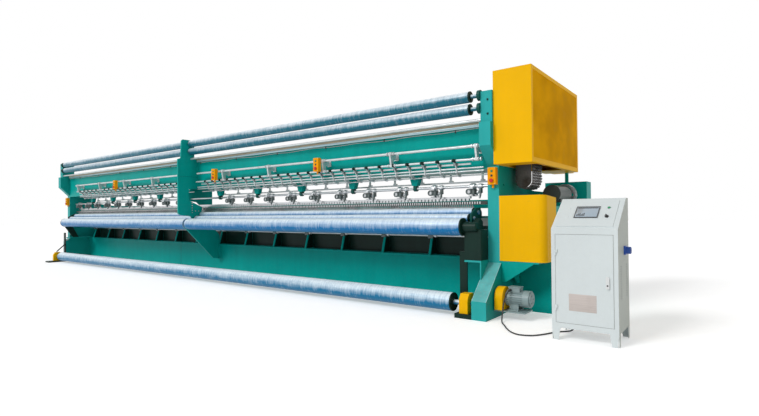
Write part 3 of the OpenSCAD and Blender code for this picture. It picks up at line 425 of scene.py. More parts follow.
def finish_of(name, effect_tree, values, bump=0.1, distance=0.0004, **shader):
    """A Principled surface whose colour, roughness and bump come from one shared effect."""
    surface = bpy.data.materials.new(name)
    surface.use_nodes = True
    tree = surface.node_tree
    principled = tree.nodes["Principled BSDF"]
    worn = tree.nodes.new("ShaderNodeGroup")
    worn.node_tree = effect_tree
    for label, value in values.items():
        worn.inputs[label].default_value = value
    tree.links.new(worn.outputs["Colour"], principled.inputs["Base Color"])
    tree.links.new(worn.outputs["Roughness"], principled.inputs["Roughness"])
    relief = node(tree, "Bump", [("Height", worn.outputs["Height"]), ("Strength", bump),
                                 ("Distance", distance)])
    tree.links.new(relief.outputs["Normal"], principled.inputs["Normal"])
    for label, value in shader.items():
        principled.inputs[label.replace("_", " ")].default_value = value
    return surface


def colour(red, green, blue):
    """An opaque colour in linear light."""
    return (red, green, blue, 1.0)


TEAL = finish_of("teal_enamel", ENAMEL, {
    "Colour": colour(0.000, 0.350, 0.313), "Cloud": 0.12, "Dust": 0.03, "Chips": 0.25,
    "Gloss Roughness": 0.30, "Peel": 0.8}, bump=0.12, Specular_IOR_Level=0.20, IOR=1.28)
# the end frames: a lighter copy of the teal as painted light on their fronts, with painted shade on
# their faces towards X
LIT_END_TEAL = finish_of("end_frame_enamel", ENAMEL, {
    "Colour": colour(0.028, 0.40, 0.39), "Cloud": 0.12, "Dust": 0.03, "Chips": 0.25,
    "Gloss Roughness": 0.30, "Peel": 0.8,
    "End Tone": colour(0.0, 0.30, 0.265), "End Amount": 0.8},
    bump=0.12, Specular_IOR_Level=0.20, IOR=1.28)
# painted sheen for the upward faces of the feet and painted glints for their edges, both with some
# dust and chips
FOOT_SHEEN = finish_of("sheen_teal_enamel", ENAMEL, {
    "Colour": colour(0.115, 0.50, 0.50), "Cloud": 0.35, "Dust": 0.25, "Chips": 0.35,
    "Gloss Roughness": 0.30, "Peel": 0.8}, bump=0.12, Specular_IOR_Level=0.4)
FOOT_GLINT = finish_of("glint_teal_enamel", ENAMEL, {
    "Colour": colour(0.42, 0.70, 0.72), "Cloud": 0.3, "Dust": 0.2, "Chips": 0.5,
    "Gloss Roughness": 0.34}, bump=0.12, Specular_IOR_Level=0.4)
DARK = finish_of("dark_enamel", ENAMEL, {
    "Colour": colour(0.004, 0.023, 0.017), "Cloud": 0.25, "Dust": 0.010, "Chips": 0.04,
    "Gloss Roughness": 0.30}, bump=0.15, Specular_IOR_Level=0.16)
HANGER = finish_of("grey_green_enamel", ENAMEL, {
    "Colour": colour(0.085, 0.115, 0.115), "Cloud": 0.3, "Dust": 0.10, "Chips": 0.3,
    "Gloss Roughness": 0.30}, bump=0.15, Specular_IOR_Level=0.7)
YELLOW = finish_of("yellow_powder_coat", ENAMEL, {
    "Colour": colour(0.93, 0.50, 0.003), "Cloud": 0.05, "Dust": 0.03, "Chips": 0.12,
    "Gloss Roughness": 0.34, "Peel": 1.2}, bump=0.10, Specular_IOR_Level=0.2, IOR=1.2)
ORANGE = finish_of("orange_powder_coat", ENAMEL, {
    "Colour": colour(0.93, 0.37, 0.006), "Cloud": 0.05, "Dust": 0.03, "Chips": 0.12,
    "Gloss Roughness": 0.34, "Peel": 1.2}, bump=0.10, Specular_IOR_Level=0.2, IOR=1.2)
GREY = finish_of("motor_grey", ENAMEL, {
    "Colour": colour(0.25, 0.34, 0.35), "Cloud": 0.15, "Dust": 0.12, "Chips": 0.2,
    "Gloss Roughness": 0.34}, bump=0.15, Specular_IOR_Level=0.45)
IRON = finish_of("grey_iron", ENAMEL, {
    "Colour": colour(0.050, 0.062, 0.058), "Cloud": 0.25, "Dust": 0.05, "Chips": 0.1,
    "Gloss Roughness": 0.32}, bump=0.15, Specular_IOR_Level=0.45)
DEEP_GREEN = finish_of("deep_green_enamel", ENAMEL, {
    "Colour": colour(0.001, 0.075, 0.062), "Cloud": 0.2, "Dust": 0.04, "Chips": 0.2,
    "Gloss Roughness": 0.32}, bump=0.15, Specular_IOR_Level=0.2)
# painted shade darkens the cabinet's side sheet towards X
CABINET = finish_of("cabinet_powder_coat", ENAMEL, {
    "Colour": colour(0.67, 0.73, 0.74), "Cloud": 0.03, "Dust": 0.04, "Chips": 0.05,
    "Gloss Roughness": 0.42, "Peel": 1.6,
    "End Tone": colour(0.44, 0.47, 0.42), "End Amount": 0.85},
    bump=0.14, Specular_IOR_Level=0.2)
# on the rollers the Light colour is a painted highlight on their tops, and the Blue is their blue
# film with painted shade below
ROLLER = finish_of("plated_roller", PLATED, {
    "Light": colour(0.80, 0.90, 0.97), "Blue": colour(0.002, 0.175, 0.44), "Blue Amount": 1.0,
    "Turn": 0.22}, bump=0.06, Metallic=0.15, Specular_IOR_Level=0.25)
FEED = finish_of("plated_feed_roller", PLATED, {
    "Light": colour(0.78, 0.85, 0.91), "Blue": colour(0.012, 0.155, 0.23), "Blue Amount": 1.0,
    "Turn": 0.24}, bump=0.06, Metallic=0.15, Specular_IOR_Level=0.25)
ROLL_TUBE = finish_of("cloth_tube", PLATED, {
    "Light": colour(0.80, 0.91, 0.97), "Blue": colour(0.008, 0.18, 0.36), "Blue Amount": 1.0,
    "Turn": 0.28}, bump=0.10, Metallic=0.10, Specular_IOR_Level=0.25)
BRIGHT = finish_of("ground_bar", GROUND_STEEL, {
    "Colour": colour(0.62, 0.64, 0.66), "Stain": colour(0.16, 0.15, 0.13), "Stain Amount": 0.25},
    bump=0.05, Metallic=0.9)
RAIL = finish_of("pale_rail_steel", GROUND_STEEL, {
    "Colour": colour(0.68, 0.72, 0.73), "Stain": colour(0.20, 0.20, 0.19), "Stain Amount": 0.35,
    "Base Roughness": 0.34}, bump=0.05, Metallic=0.4)
EDGE = finish_of("pale_edge_sheet", GROUND_STEEL, {
    "Colour": colour(0.50, 0.70, 0.76), "Stain": colour(0.30, 0.45, 0.48), "Stain Amount": 0.4},
    bump=0.03, Metallic=0.3)
NEEDLE = finish_of("oiled_needles", GROUND_STEEL, {
    "Colour": colour(0.28, 0.30, 0.31), "Stain": colour(0.05, 0.05, 0.05), "Stain Amount": 0.5,
    "Line X": 200.0, "Line Z": 4.0}, bump=0.05, Metallic=0.85)
OILED = finish_of("oiled_plate", GROUND_STEEL, {
    "Colour": colour(0.050, 0.056, 0.056), "Stain": colour(0.020, 0.022, 0.022),
    "Stain Amount": 0.6}, bump=0.05, Metallic=0.4)
CHAIN = finish_of("oiled_chain", GROUND_STEEL, {
    "Colour": colour(0.10, 0.10, 0.10), "Stain": colour(0.03, 0.025, 0.02), "Stain Amount": 0.7,
    "Line X": 60.0, "Line Y": 60.0, "Line Z": 60.0, "Base Roughness": 0.42},
    bump=0.1, Metallic=0.7)
LOCK = finish_of("white_grip", MOULDED, {
    "Colour": colour(0.72, 0.74, 0.74), "Scuff": 0.05, "Base Roughness": 0.28},
    bump=0.03, distance=0.0001)
RED = finish_of("red_plastic", MOULDED, {
    "Colour": colour(0.60, 0.015, 0.012), "Base Roughness": 0.28}, bump=0.05, distance=0.0001)
BLACK = finish_of("black_plastic", MOULDED, {
    "Colour": colour(0.018, 0.018, 0.019), "Base Roughness": 0.40}, bump=0.08, distance=0.0001)
GREEN = finish_of("green_plastic", MOULDED, {
    "Colour": colour(0.01, 0.28, 0.10), "Base Roughness": 0.28}, bump=0.05, distance=0.0001)
BLUE = finish_of("blue_plastic", MOULDED, {
    "Colour": colour(0.01, 0.08, 0.42), "Base Roughness": 0.32}, bump=0.05, distance=0.0001)
RUBBER = finish_of("cable_rubber", MOULDED, {
    "Colour": colour(0.016, 0.016, 0.016), "Scuff": 0.3, "Base Roughness": 0.55},
    bump=0.15, distance=0.0002)
SCREEN = finish_of("display_glass", MOULDED, {
    "Colour": colour(0.025, 0.035, 0.045), "Scuff": 0.03, "Base Roughness": 0.12, "Pebble": 60.0},
    bump=0.01, distance=0.0001, Coat_Weight=0.8)
AMBER = finish_of("amber_sheet", TINTED, {
    "Colour": colour(0.88, 0.42, 0.002), "Shade": colour(0.50, 0.215, 0.002), "Depth": 0.60},
    bump=0.01, distance=0.0002, Specular_IOR_Level=0.05, IOR=1.05)

# only on the small fittings below
TAN = finish_of("tan_strip", ENAMEL, {
    "Colour": colour(0.62, 0.50, 0.35), "Cloud": 0.2, "Dust": 0.2, "Chips": 0.2,
    "Gloss Roughness": 0.6}, bump=0.2)
WIRE = finish_of("light_wire", MOULDED, {
    "Colour": colour(0.55, 0.56, 0.54), "Base Roughness": 0.5}, bump=0.05, distance=0.0001)
BARE_PLATE = finish_of("bare_plate", GROUND_STEEL, {
    "Colour": colour(0.56, 0.50, 0.47), "Stain": colour(0.35, 0.31, 0.29), "Stain Amount": 0.3,
    "Line X": 3.0, "Line Z": 500.0}, bump=0.03, Metallic=0.25)
SLOT = finish_of("louvre_shadow", ENAMEL, {
    "Colour": colour(0.30, 0.32, 0.31), "Cloud": 0.1, "Dust": 0.1, "Gloss Roughness": 0.6},
    bump=0.05, Specular_IOR_Level=0.1)
DISPLAY = finish_of("display", MOULDED, {
    "Colour": colour(0.33, 0.42, 0.50), "Scuff": 0.6, "Base Roughness": 0.10, "Pebble": 90.0},
    bump=0.0, distance=0.0001, Coat_Weight=0.8)

STATIONS = range(1, 6)

NODE_FINISH = {
    TEAL: "base_beam middle_frame upper_beam drive_pedestal",
    LIT_END_TEAL: "end_frames",
    # on the drive trough this near black is painted shade for the dim inside of the machine
    DARK: "drive_trough takeup_gearbox roll_stands",
    IRON: "main_motor",
    DEEP_GREEN: "bearing_housings",
    HANGER: "swing_hangers",
    ROLLER: "takeup_roller press_roller_upper press_roller_lower",
    FEED: "feed_roller_upper feed_roller_lower",
    RAIL: "rail_rods rail_arms",
    ROLL_TUBE: "cloth_roll",
    BRIGHT: "guide_bar_front guide_bar_back swing_shaft pattern_drum motor_pulley",
    NEEDLE: "needle_bar",
    OILED: "trick_plate",
    YELLOW: "drive_cover pattern_cover roll_brackets wind_belt_cover belt_cover",
    ORANGE: "stop_boxes",
    AMBER: "pattern_panel",
    GREY: "wind_motor",
    CHAIN: "pattern_chains",
    RED: " ".join(f"stop_button_{k}" for k in STATIONS),
    BLACK: " ".join(f"jog_button_{k}" for k in STATIONS) + " selector_switch cable_glands",
    GREEN: " ".join(f"run_button_{k}" for k in STATIONS) + " start_button",
    CABINET: "cabinet_shell cabinet_door console_panel",
    LOCK: "lock_handle",
    SCREEN: "screen",
    BLUE: "power_socket",
    RUBBER: "motor_cable",
}
for surface, names in NODE_FINISH.items():
    for name in names.split():
        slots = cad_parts[name].data.materials
        if not len(slots):
            slots.append(surface)
        for index in range(len(slots)):
            slots[index] = surface

# the cable is a real curve along the same route as the solid it stands for
cable_line = smooth_line(cable_route(), 6)
cable = curve_piece("cable", cable_line, CABLE_RADIUS, RUBBER)
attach(cable, STATIC)
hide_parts("motor_cable")


def along_line(line, distance):
    """The point at a distance from the line's start."""
    for a, b in zip(line, line[1:]):
        step = (b - a).length
        if distance <= step:
            return a.lerp(b, distance / step)
        distance -= step
    return line[-1]


# a sleeve's length in steps; its root, taper and ridges, in radii of the cable
SLEEVE_STEPS, SLEEVE_ROOT, SLEEVE_TAPER, SLEEVE_RIDGE = 16, 2.05, 0.98, 0.09


def strain_relief(name, line, start, reach):
    """A ribbed rubber sleeve that tapers down to the cable."""
    steps = range(SLEEVE_STEPS + 1)
    places = [along_line(line, start + reach * k / SLEEVE_STEPS) for k in steps]
    widths = [SLEEVE_ROOT - SLEEVE_TAPER * k / SLEEVE_STEPS + (SLEEVE_RIDGE if k % 2 else 0.0)
              for k in steps]
    sleeve = curve_piece(name, places, CABLE_RADIUS, RUBBER, widths)
    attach(sleeve, STATIC)


strain_relief("sleeve_motor", cable_line, 0.011, 0.045)
strain_relief("sleeve_cabinet", cable_line[::-1], 0.015, 0.045)

# ---------------------------------------------------------------- bolts and screws

# from, to, radius, sides and taper of a bolt's washer, head and thread, as shares of its size
BOLT_STEPS = ((0.0, 0.16, 1.05, 20, 1.0), (0.16, 0.82, 0.85, 6, 0.97), (0.80, 0.98, 0.42, 12, 0.8))

HEAD_FRONT = -1.030         # front face of an end frame's head
FEED_SCREWS = (2.205, 2.060)            # Z of the screws, and of the bolts below
FLANGE_BOLTS = (0.12, 0.25, 0.38, 0.49)


def add_bolt(shape, place, facing, size):
    """A washer, a hexagon head and the end of the thread, standing off a face."""
    facing = Vector(facing).normalized()
    foot = Vector(place)
    for low, high, radius, sides, taper in BOLT_STEPS:
        add_rod(shape, foot + facing * size * low, foot + facing * size * high,
                size * radius, sides, taper)


def bolts_piece(name, rows, size, surface):
    """One static piece with a bolt at each place and facing."""
    shape = bmesh.new()
    for place, facing in rows:
        add_bolt(shape, place, facing, size)
    new_piece(name, shape, STATIC, surface, 25)


def head_bolts():
    """Clamp screws of the feed rollers on the fronts of the end frames."""
    rows = [((side * (INNER_HALF + 0.080), HEAD_FRONT, z), (0, -1, 0))
            for side in (-1, 1) for z in FEED_SCREWS]
    bolts_piece("head_bolts", rows, 0.011, DARK)


def flange_bolts():
    """Bolts that hold the base casting and the end frames together."""
    rows = [((side * HALF_FRAME, y, z), (side, 0, 0))
            for z in FLANGE_BOLTS for side in (1, -1) for y in (-0.30, 0.30)]
    bolts_piece("flange_bolts", rows, 0.014, BRIGHT)


# ---------------------------------------------------------------- rollers and base

# roller, its body, how far the cap stands proud of the barrel, and the cap's thickness
ROLLER_CAPS = (
    ("takeup_roller", "takeup", 0.002, 0.012), ("feed_roller_upper", "feed_upper", 0.001, 0.010),
    ("feed_roller_lower", "feed_lower", 0.001, 0.010),
    ("press_roller_upper", "press_upper", 0.001, 0.008),
    ("press_roller_lower", "press_lower", 0.001, 0.008), ("cloth_roll", "cloth", 0.001, 0.010))

LIFT_Y, LIFT_Z, LIFT_RADIUS = -0.408, 0.776, 0.011      # the lift shaft
MIDDLE_GAP = 0.03           # what crosses the middle frame stops this far from its middle

# the side of a rib, in Y and Z
RIB_SIDE = [(-0.440, 0.546), (-0.366, 0.799), (-0.303, 0.799), (-0.303, 0.546)]


def barrel_half(name, middle_y, middle_z, radius):
    """Half length of the full-diameter barrel, measured on the solid."""
    return max(v.co.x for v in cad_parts[name].data.vertices
               if math.hypot(v.co.y - middle_y, v.co.z - middle_z) > radius * 0.9)


def roller_caps():
    """Dark end plates on the barrels, outside the polished length."""
    for name, body, proud, thick in ROLLER_CAPS:
        low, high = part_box(name)
        y, z = (low.y + high.y) / 2, (low.z + high.z) / 2
        radius = (high.z - low.z) / 2
        barrel = barrel_half(name, y, z, radius)
        shape = bmesh.new()
        for side in (-1, 1):
            add_rod(shape, (side * (barrel - 0.002), y, z),
                    (side * (barrel + thick), y, z), radius + proud, 40)
            add_rod(shape, (side * (barrel + thick - 0.001), y, z),
                    (side * (barrel + thick + 0.006), y, z), radius * 0.62, 32)
        new_piece(name + "_caps", shape, body, DARK, 30)


def rib_positions():
    """X of the ribs on the base beam, with one at the middle frame."""
    return [k * RIB_PITCH for k in range(-7, 8)]


def lift_shaft():
    """Bright shaft with its bearing blocks and collars on the ribs, under the take-up roller."""
    y, z = LIFT_Y, LIFT_Z
    shaft = bmesh.new()
    add_rod(shaft, (-INNER_HALF, y, z), (-MIDDLE_GAP, y, z), LIFT_RADIUS, 14)
    add_rod(shaft, (MIDDLE_GAP, y, z), (INNER_HALF, y, z), LIFT_RADIUS, 14)
    blocks = bmesh.new()
    for x in rib_positions():
        if abs(x) > 0.1:
            add_block(blocks, (x - 0.034, y - 0.020, z - 0.034),
                      (x + 0.034, y + 0.022, z + 0.018), 0.003)
            add_rod(shaft, (x + 0.060, y, z), (x + 0.082, y, z), 0.024, 20)
    new_piece("shaft_blocks", blocks, STATIC, HANGER, 30)
    new_piece("lift_shaft", shaft, STATIC, BRIGHT, 30)


def rib_shade_plates():
    """Dark plates on the sides of the ribs as painted shade, behind the ribs' teal painted front
    edges.
    """
    shade_plates = bmesh.new()
    for x in rib_positions():
        for low_x, high_x in ((x - 0.0156, x - 0.0148), (x + 0.0148, x + 0.0156)):
            add_plate(shade_plates, RIB_SIDE, low_x, high_x)
    new_piece("rib_shade_plates", shade_plates, STATIC, DARK)


def casting_joint():
    """The dark line between the two castings of the base."""
    joint = bmesh.new()
    add_block(joint, (-1.2408, -0.4505, 0.002), (-1.2332, -0.4490, 0.523))
    new_piece("casting_joint", joint, STATIC, DARK)


# ---------------------------------------------------------------- control cabinet

CABINET_X, CABINET_Y, DESK_Z = 6.186, -1.511, 0.915
CABINET_WIDE, CABINET_DEEP = 0.510, 0.420
CABINET_END = CABINET_X + CABINET_WIDE      # X of the side sheet
DESK_UP = Vector((0, 0.80226, 0.59698))
DESK_OUT = Vector((0, -0.59698, 0.80226))

# on the desk, in millimetres from its lower left corner
BLANK_PLUGS = ((92, 270), (96, 160))
START_PLACE, SWITCH_PLACE = (406, 278), (406, 160)

DOOR_INSET, GAP_WIDE = 0.0315, 0.0022       # from the cabinet's corners to the door's gap
LOUVRE_PITCH, LOUVRE_HALF = 0.0195, 0.029   # between the louvres, and half of one's length


def on_desk(x, y, z):
    """A point on the sloping desk, in millimetres across, up the slope and out of it."""
    corner = Vector((CABINET_X, CABINET_Y, DESK_Z))
    return corner + Vector((x, 0, 0)) * 0.001 + DESK_UP * y * 0.001 + DESK_OUT * z * 0.001


def desk_piece(name, shape, surface):
    """Moves a shape drawn in desk millimetres onto the sloping desk."""
    for v in shape.verts:
        v.co = on_desk(*v.co)
    new_piece(name, shape, STATIC, surface)


def desk_fittings():
    """Blank plugs, rings round the button and the switch, and the display's face and bars."""
    plugs, rings, face, bars = (bmesh.new() for _ in range(4))
    for x, y in BLANK_PLUGS:
        add_rod(plugs, (x, y, 4.5), (x, y, 6.4), 13, 32, 0.96)
    desk_piece("blank_plugs", plugs, CABINET)
    add_ring(rings, START_PLACE, 5.0, 9.0, 11.8, 15.0)
    add_ring(rings, SWITCH_PLACE, 5.0, 5.45, 6.6, 17.0)
    desk_piece("switch_rings", rings, BRIGHT)
    add_block(face, (161, 150, 10.9), (331, 286, 11.5), 0.2)
    desk_piece("display_face", face, DISPLAY)
    add_block(bars, (164, 264, 11.4), (328, 283, 11.7))
    for k in range(6):
        add_block(bars, (170 + 11 * k, 160, 11.4), (178 + 11 * k, 186 + 9 * (k % 3), 11.7))
    desk_piece("display_bars", bars, SCREEN)


def door_fittings():
    """Blank data plate with its four rivets, and the keyhole of the lock."""
    front = CABINET_Y - 0.001
    left = CABINET_X + 0.138
    plate = bmesh.new()
    add_block(plate, (left, front - 0.0012, 0.250), (left + 0.212, front + 0.0002, 0.388), 0.0004)
    for x in (left + 0.007, left + 0.205):
        for z in (0.257, 0.381):
            add_rod(plate, (x, front, z), (x, front - 0.0024, z), 0.0028, 12)
    new_piece("data_plate", plate, "door", BARE_PLATE)
    low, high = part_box("lock_handle")
    x, z = (low.x + high.x) / 2, low.z + 0.026
    keyhole = bmesh.new()
    add_rod(keyhole, (x, low.y + 0.0006, z), (x, low.y - 0.0006, z), 0.0065, 20)
    new_piece("keyhole", keyhole, "lock", BLACK)


def cabinet_seams():
    """The gap round the door, the step in the side sheet and the dark slots of its louvres."""
    low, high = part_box("cabinet_door")
    left, right = CABINET_X + DOOR_INSET, CABINET_X + CABINET_WIDE - DOOR_INSET
    bottom, top = low.z - 0.0030, high.z + 0.0030
    gap = bmesh.new()
    for near, far in (((left, bottom), (right, bottom + GAP_WIDE)),
                      ((left, top - GAP_WIDE), (right, top)),
                      ((left, bottom), (left + GAP_WIDE, top)),
                      ((right - GAP_WIDE, bottom), (right, top))):
        add_block(gap, (near[0], CABINET_Y - 0.0006, near[1]), (far[0], CABINET_Y + 0.0002, far[1]))
    new_piece("door_gap", gap, STATIC, SLOT)
    seam = bmesh.new()
    add_block(seam, (CABINET_END - 0.0004, CABINET_Y + 0.010, 0.658),
              (CABINET_END + 0.0014, CABINET_Y + CABINET_DEEP - 0.010, 0.662), 0.0004)
    new_piece("side_seam", seam, STATIC, CABINET)
    slots = bmesh.new()
    for k in range(14):
        z = 0.362 + LOUVRE_PITCH * k
        for y in (0.110, 0.330):
            add_block(slots, (CABINET_END - 0.0016, CABINET_Y + y - LOUVRE_HALF, z + 0.0006),
                      (CABINET_END - 0.0010, CABINET_Y + y + LOUVRE_HALF, z + 0.0064))
    new_piece("louvre_slots", slots, STATIC, SLOT)


# ---------------------------------------------------------------- rails and upper beam

FIRST_ARM, ARM_PITCH = INNER_HALF - 0.065, 1.090
FINGER_PITCH = 0.200
TOP_RAIL = (-1.000, 1.750, 0.015)       # Y, Z and radius
FINGER_RAIL = (-0.980, 1.615, 0.012)
ARM_BOLT_FACE = -0.888                  # Y of the plate under the arms' bolts
# the clamp at the head of a finger, in Y and Z
FINGER_HEAD = [(-1.0006, 1.6330), (-0.9570, 1.6312), (-0.9440, 1.6100),
               (-0.9570, 1.5930), (-1.0006, 1.5960)]
FLANGE_FACE = (-0.8992, -0.8978)        # the sheet strips on the upper beam's flange
WIRE_Y, WIRE_Z, WIRE_RADIUS = -0.8845, 1.944, 0.0042
WIRES = (("beam_wire_right", 0.10, 5.30), ("beam_wire_left", -5.30, -0.45))


def arm_positions():
    """X of the rail arms, clear of the middle frame and the left end."""
    return [x for x in (FIRST_ARM - ARM_PITCH * k for k in range(10))
            if abs(x) > 0.3 and x > -4.7]


def finger_positions():
    """X of the fingers on the lower rail, on both sides of the middle frame."""
    return ([-4.650 + FINGER_PITCH * k for k in range(1, 22)]
            + [0.200 + FINGER_PITCH * k for k in range(1, 25)])


def rail_collars():
    """Split collars and clamp screws beside each rail arm, and the arms' own bolts."""
    collars = bmesh.new()
    for x in arm_positions():
        for y, z, radius in (TOP_RAIL, FINGER_RAIL):
            for dx in (-0.052, 0.040):
                add_rod(collars, (x + dx, y, z), (x + dx + 0.014, y, z), radius + 0.009, 24)
                add_rod(collars, (x + dx + 0.007, y, z),
                        (x + dx + 0.007, y - radius - 0.018, z), 0.004, 8)
    new_piece("rail_collars", collars, STATIC, BRIGHT)
    rows = [((x + dx, ARM_BOLT_FACE, z), (0, -1, 0))
            for x in arm_positions() for z in (1.700, 1.742) for dx in (-0.022, 0.022)]
    bolts_piece("arm_bolts", rows, 0.006, BRIGHT)


def finger_clamps():
    """A dark clamp round the rail at the head of every finger, and a grey one half way down."""
    clamps, blocks = bmesh.new(), bmesh.new()
    y, z = FINGER_RAIL[:2]
    for x in finger_positions():
        add_plate(clamps, FINGER_HEAD, x - 0.0056, x + 0.0056)
        add_rod(clamps, (x - 0.024, y, z), (x + 0.024, y, z), 0.0165, 20)
        add_block(blocks, (x - 0.0245, -0.9486, 1.5594), (x + 0.0245, -0.9194, 1.5906), 0.002)
    new_piece("finger_clamps", clamps, STATIC, DARK)
    new_piece("finger_blocks", blocks, STATIC, HANGER)


def top_strip():
    """Tan strip on the front of the bar above the upper beam."""
    strip = bmesh.new()
    add_block(strip, (-INNER_HALF, -0.8563, 2.003), (INNER_HALF, -0.8547, 2.0415), 0.0005)
    new_piece("top_strip", strip, STATIC, TAN)


def beam_edge():
    """Pale sheet strip along the flange of the upper beam, and a tan one over it."""
    front, back = FLANGE_FACE
    pale, tan = bmesh.new(), bmesh.new()
    for start, end in ((-INNER_HALF, -0.020), (0.020, INNER_HALF)):
        add_block(pale, (start, front, 1.9600), (end, back, 1.9880), 0.0004)
        add_block(tan, (start, front, 1.9882), (end, back, 2.0125), 0.0004)
    new_piece("tan_edge", tan, STATIC, TAN)
    new_piece("beam_edge", pale, STATIC, EDGE)


def frame_joint():
    """The line where the upper casting of the middle frame starts."""
    line = bmesh.new()
    add_block(line, (-0.0146, -1.2410, 1.7060), (0.0146, -0.8830, 1.7085))
    new_piece("frame_joint", line, STATIC, DARK)


def beam_wire():
    """Light signal wire clipped along the front of the upper beam."""
    for name, start, end in WIRES:
        count = int((end - start) / 0.242)
        knots = []
        for k in range(count + 1):
            z = WIRE_Z + 0.006 * math.sin(k * 1.9) + 0.004 * math.sin(k * 0.7)
            knots.append(Vector((start + (end - start) * k / count, WIRE_Y, z)))
        wire = curve_piece(name, smooth_line(knots, 4), WIRE_RADIUS, WIRE)
        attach(wire, STATIC)
    clips = bmesh.new()
    for k in range(-5, 6):
        x = k * BRACKET_PITCH + 0.12
        if any(start <= x <= end for _, start, end in WIRES):
            add_block(clips, (x - 0.006, -0.8905, 1.925), (x + 0.006, -0.8795, 1.963), 0.002)
    new_piece("wire_clips", clips, STATIC, BLACK)


# ---------------------------------------------------------------- hangers and needles

HUB_Y, HUB_Z = -0.750, 1.345            # the swing shaft, which carries the hangers
RING_DX, RING_Z = -0.038, 1.286         # a hanger's adjuster ring, from its middle

# from and to along the shaft, and radius, measured from the middle of a hanger
HUB_COLLARS = ((0.062, 0.074, 0.025), (0.106, 0.116, 0.023), (-0.040, -0.026, 0.024))
HUB_BARRELS = ((-0.0246, 0.0246, 0.0335), (0.0756, 0.1044, 0.0275))

# opposite corners, X from the middle of a hanger, and bevel
BRIGHT_CLAMPS = (((-0.022, -0.812, 1.3150), (0.022, -0.778, 1.3440), 0.003),
                 ((-0.070, -0.734, 1.2368), (0.070, -0.699, 1.2480), 0.002),
                 ((-0.030, -0.742, 1.2470), (0.030, -0.696, 1.2690), 0.004))
DARK_CLAMPS = (((-0.029, -0.789, 1.2560), (0.029, -0.716, 1.3180), 0.006),
               ((0.078, -0.779, 1.2700), (0.102, -0.728, 1.3200), 0.005),
               ((-0.056, -0.776, 1.2640), (-0.020, -0.734, 1.3080), 0.005))

TOOTH_PITCH, TOOTH_WIDE = 0.030, 0.012  # of the sinkers


def hanger_positions():
    """X of the swinging hangers, two to each pitch of the brackets."""
    reach = [BRACKET_PITCH * (0.77 + k / 2) for k in range(10)]
    return [side * x for side in (-1, 1) for x in reach]


def add_blocks_at(shape, x, blocks):
    """Blocks of one hanger, from a table."""
    for low, high, bevel in blocks:
        add_block(shape, (x + low[0], *low[1:]), (x + high[0], *high[1:]), bevel)


def add_hub_rods(shape, x, rods, sides):
    """Collars or barrels of one hanger round the swing shaft, from a table."""
    for start, end, radius in rods:
        add_rod(shape, (x + start, HUB_Y, HUB_Z), (x + end, HUB_Y, HUB_Z), radius, sides)


def hanger_details():
    """Clamp bolts and bright adjusters on every swinging hanger."""
    shape = bmesh.new()
    for x in hanger_positions():
        for dx in (-0.016, 0.016):
            add_bolt(shape, (x + dx, -0.7825, HUB_Z), (0, -1, 0), 0.006)
            add_bolt(shape, (x + dx, -0.765, 1.281 + dx * 0.2), (0, -1, -0.15), 0.006)
        add_hub_rods(shape, x, HUB_COLLARS, 24)
        add_blocks_at(shape, x, BRIGHT_CLAMPS)
        add_rod(shape, (x + 0.034, -0.7385, 1.281), (x + 0.060, -0.7385, 1.281), 0.017, 20)
    new_piece("hanger_clamps", shape, "swinging", BRIGHT)


def hanger_bodies():
    """Dark clamp blocks and adjuster rings under the hubs of the hangers, and the hubs."""
    blocks, hubs = bmesh.new(), bmesh.new()
    for x in hanger_positions():
        add_blocks_at(blocks, x, DARK_CLAMPS)
        add_front_ring(blocks, x + RING_DX, RING_Z, -0.800, -0.7755, 0.019, 0.033)
        add_hub_rods(hubs, x, HUB_BARRELS, 32)
        add_rod(hubs, (x + RING_DX, -0.7755, RING_Z), (x + RING_DX, -0.792, RING_Z), 0.0185, 24)
    new_piece("hanger_blocks", blocks, "swinging", HANGER, 30)
    new_piece("hanger_hubs", hubs, "swinging", BRIGHT, 30)


def trick_teeth():
    """Pale sinkers in a row over the dark front of the trick plate."""
    low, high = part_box("trick_plate")
    teeth = bmesh.new()
    for k in range(int((high.x - low.x - 0.10) / TOOTH_PITCH)):
        x = low.x + 0.05 + TOOTH_PITCH * k
        if abs(x) > MIDDLE_GAP:
            add_block(teeth, (x, low.y - 0.0002, 1.1510), (x + TOOTH_WIDE, low.y + 0.0006, 1.1765))
    new_piece("trick_teeth", teeth, STATIC, BRIGHT)


# ---------------------------------------------------------------- feet and middle frame

# the sloping faces of the front feet, from nose to column; the left one is the shorter
FOOT_X, FOOT_WIDE, FOOT_TOP, COLUMN_OUT = 5.3975, 0.156, 0.538, 0.874
FOOT_OUT, FOOT_NOSE = 1.252, 0.183
LEFT_FOOT_OUT, LEFT_FOOT_NOSE = 0.960, 0.470


def foot_faces():
    """Painted sheen on the upward faces of the two front feet, and painted glints along their
    edges.
    """
    sheen, edges = bmesh.new(), bmesh.new()
    strips = ((sheen, -1, 1, 0.0008), (edges, -1, -0.94, 0.0014), (edges, 0.94, 1, 0.0014))
    for middle, nose_y, nose_z in ((FOOT_X, -FOOT_OUT, FOOT_NOSE),
                                   (-FOOT_X, -LEFT_FOOT_OUT, LEFT_FOOT_NOSE)):
        low = Vector((middle, nose_y, nose_z))
        high = Vector((middle, -COLUMN_OUT, FOOT_TOP))
        up = (high - low).normalized()
        out = Vector((0, -up.z, up.y))
        for shape, start, end, deep in strips:
            corners = [place + Vector((side * FOOT_WIDE / 2, 0, 0)) for place, side in
                       ((low + up * 0.002, start), (low + up * 0.002, end),
                        (high - up * 0.004, end), (high - up * 0.004, start))]
            add_prism(shape, [v - out * 0.0004 for v in corners], [v + out * deep for v in corners])
    new_piece("foot_sheen", sheen, STATIC, FOOT_SHEEN)
    new_piece("foot_glints", edges, STATIC, FOOT_GLINT)


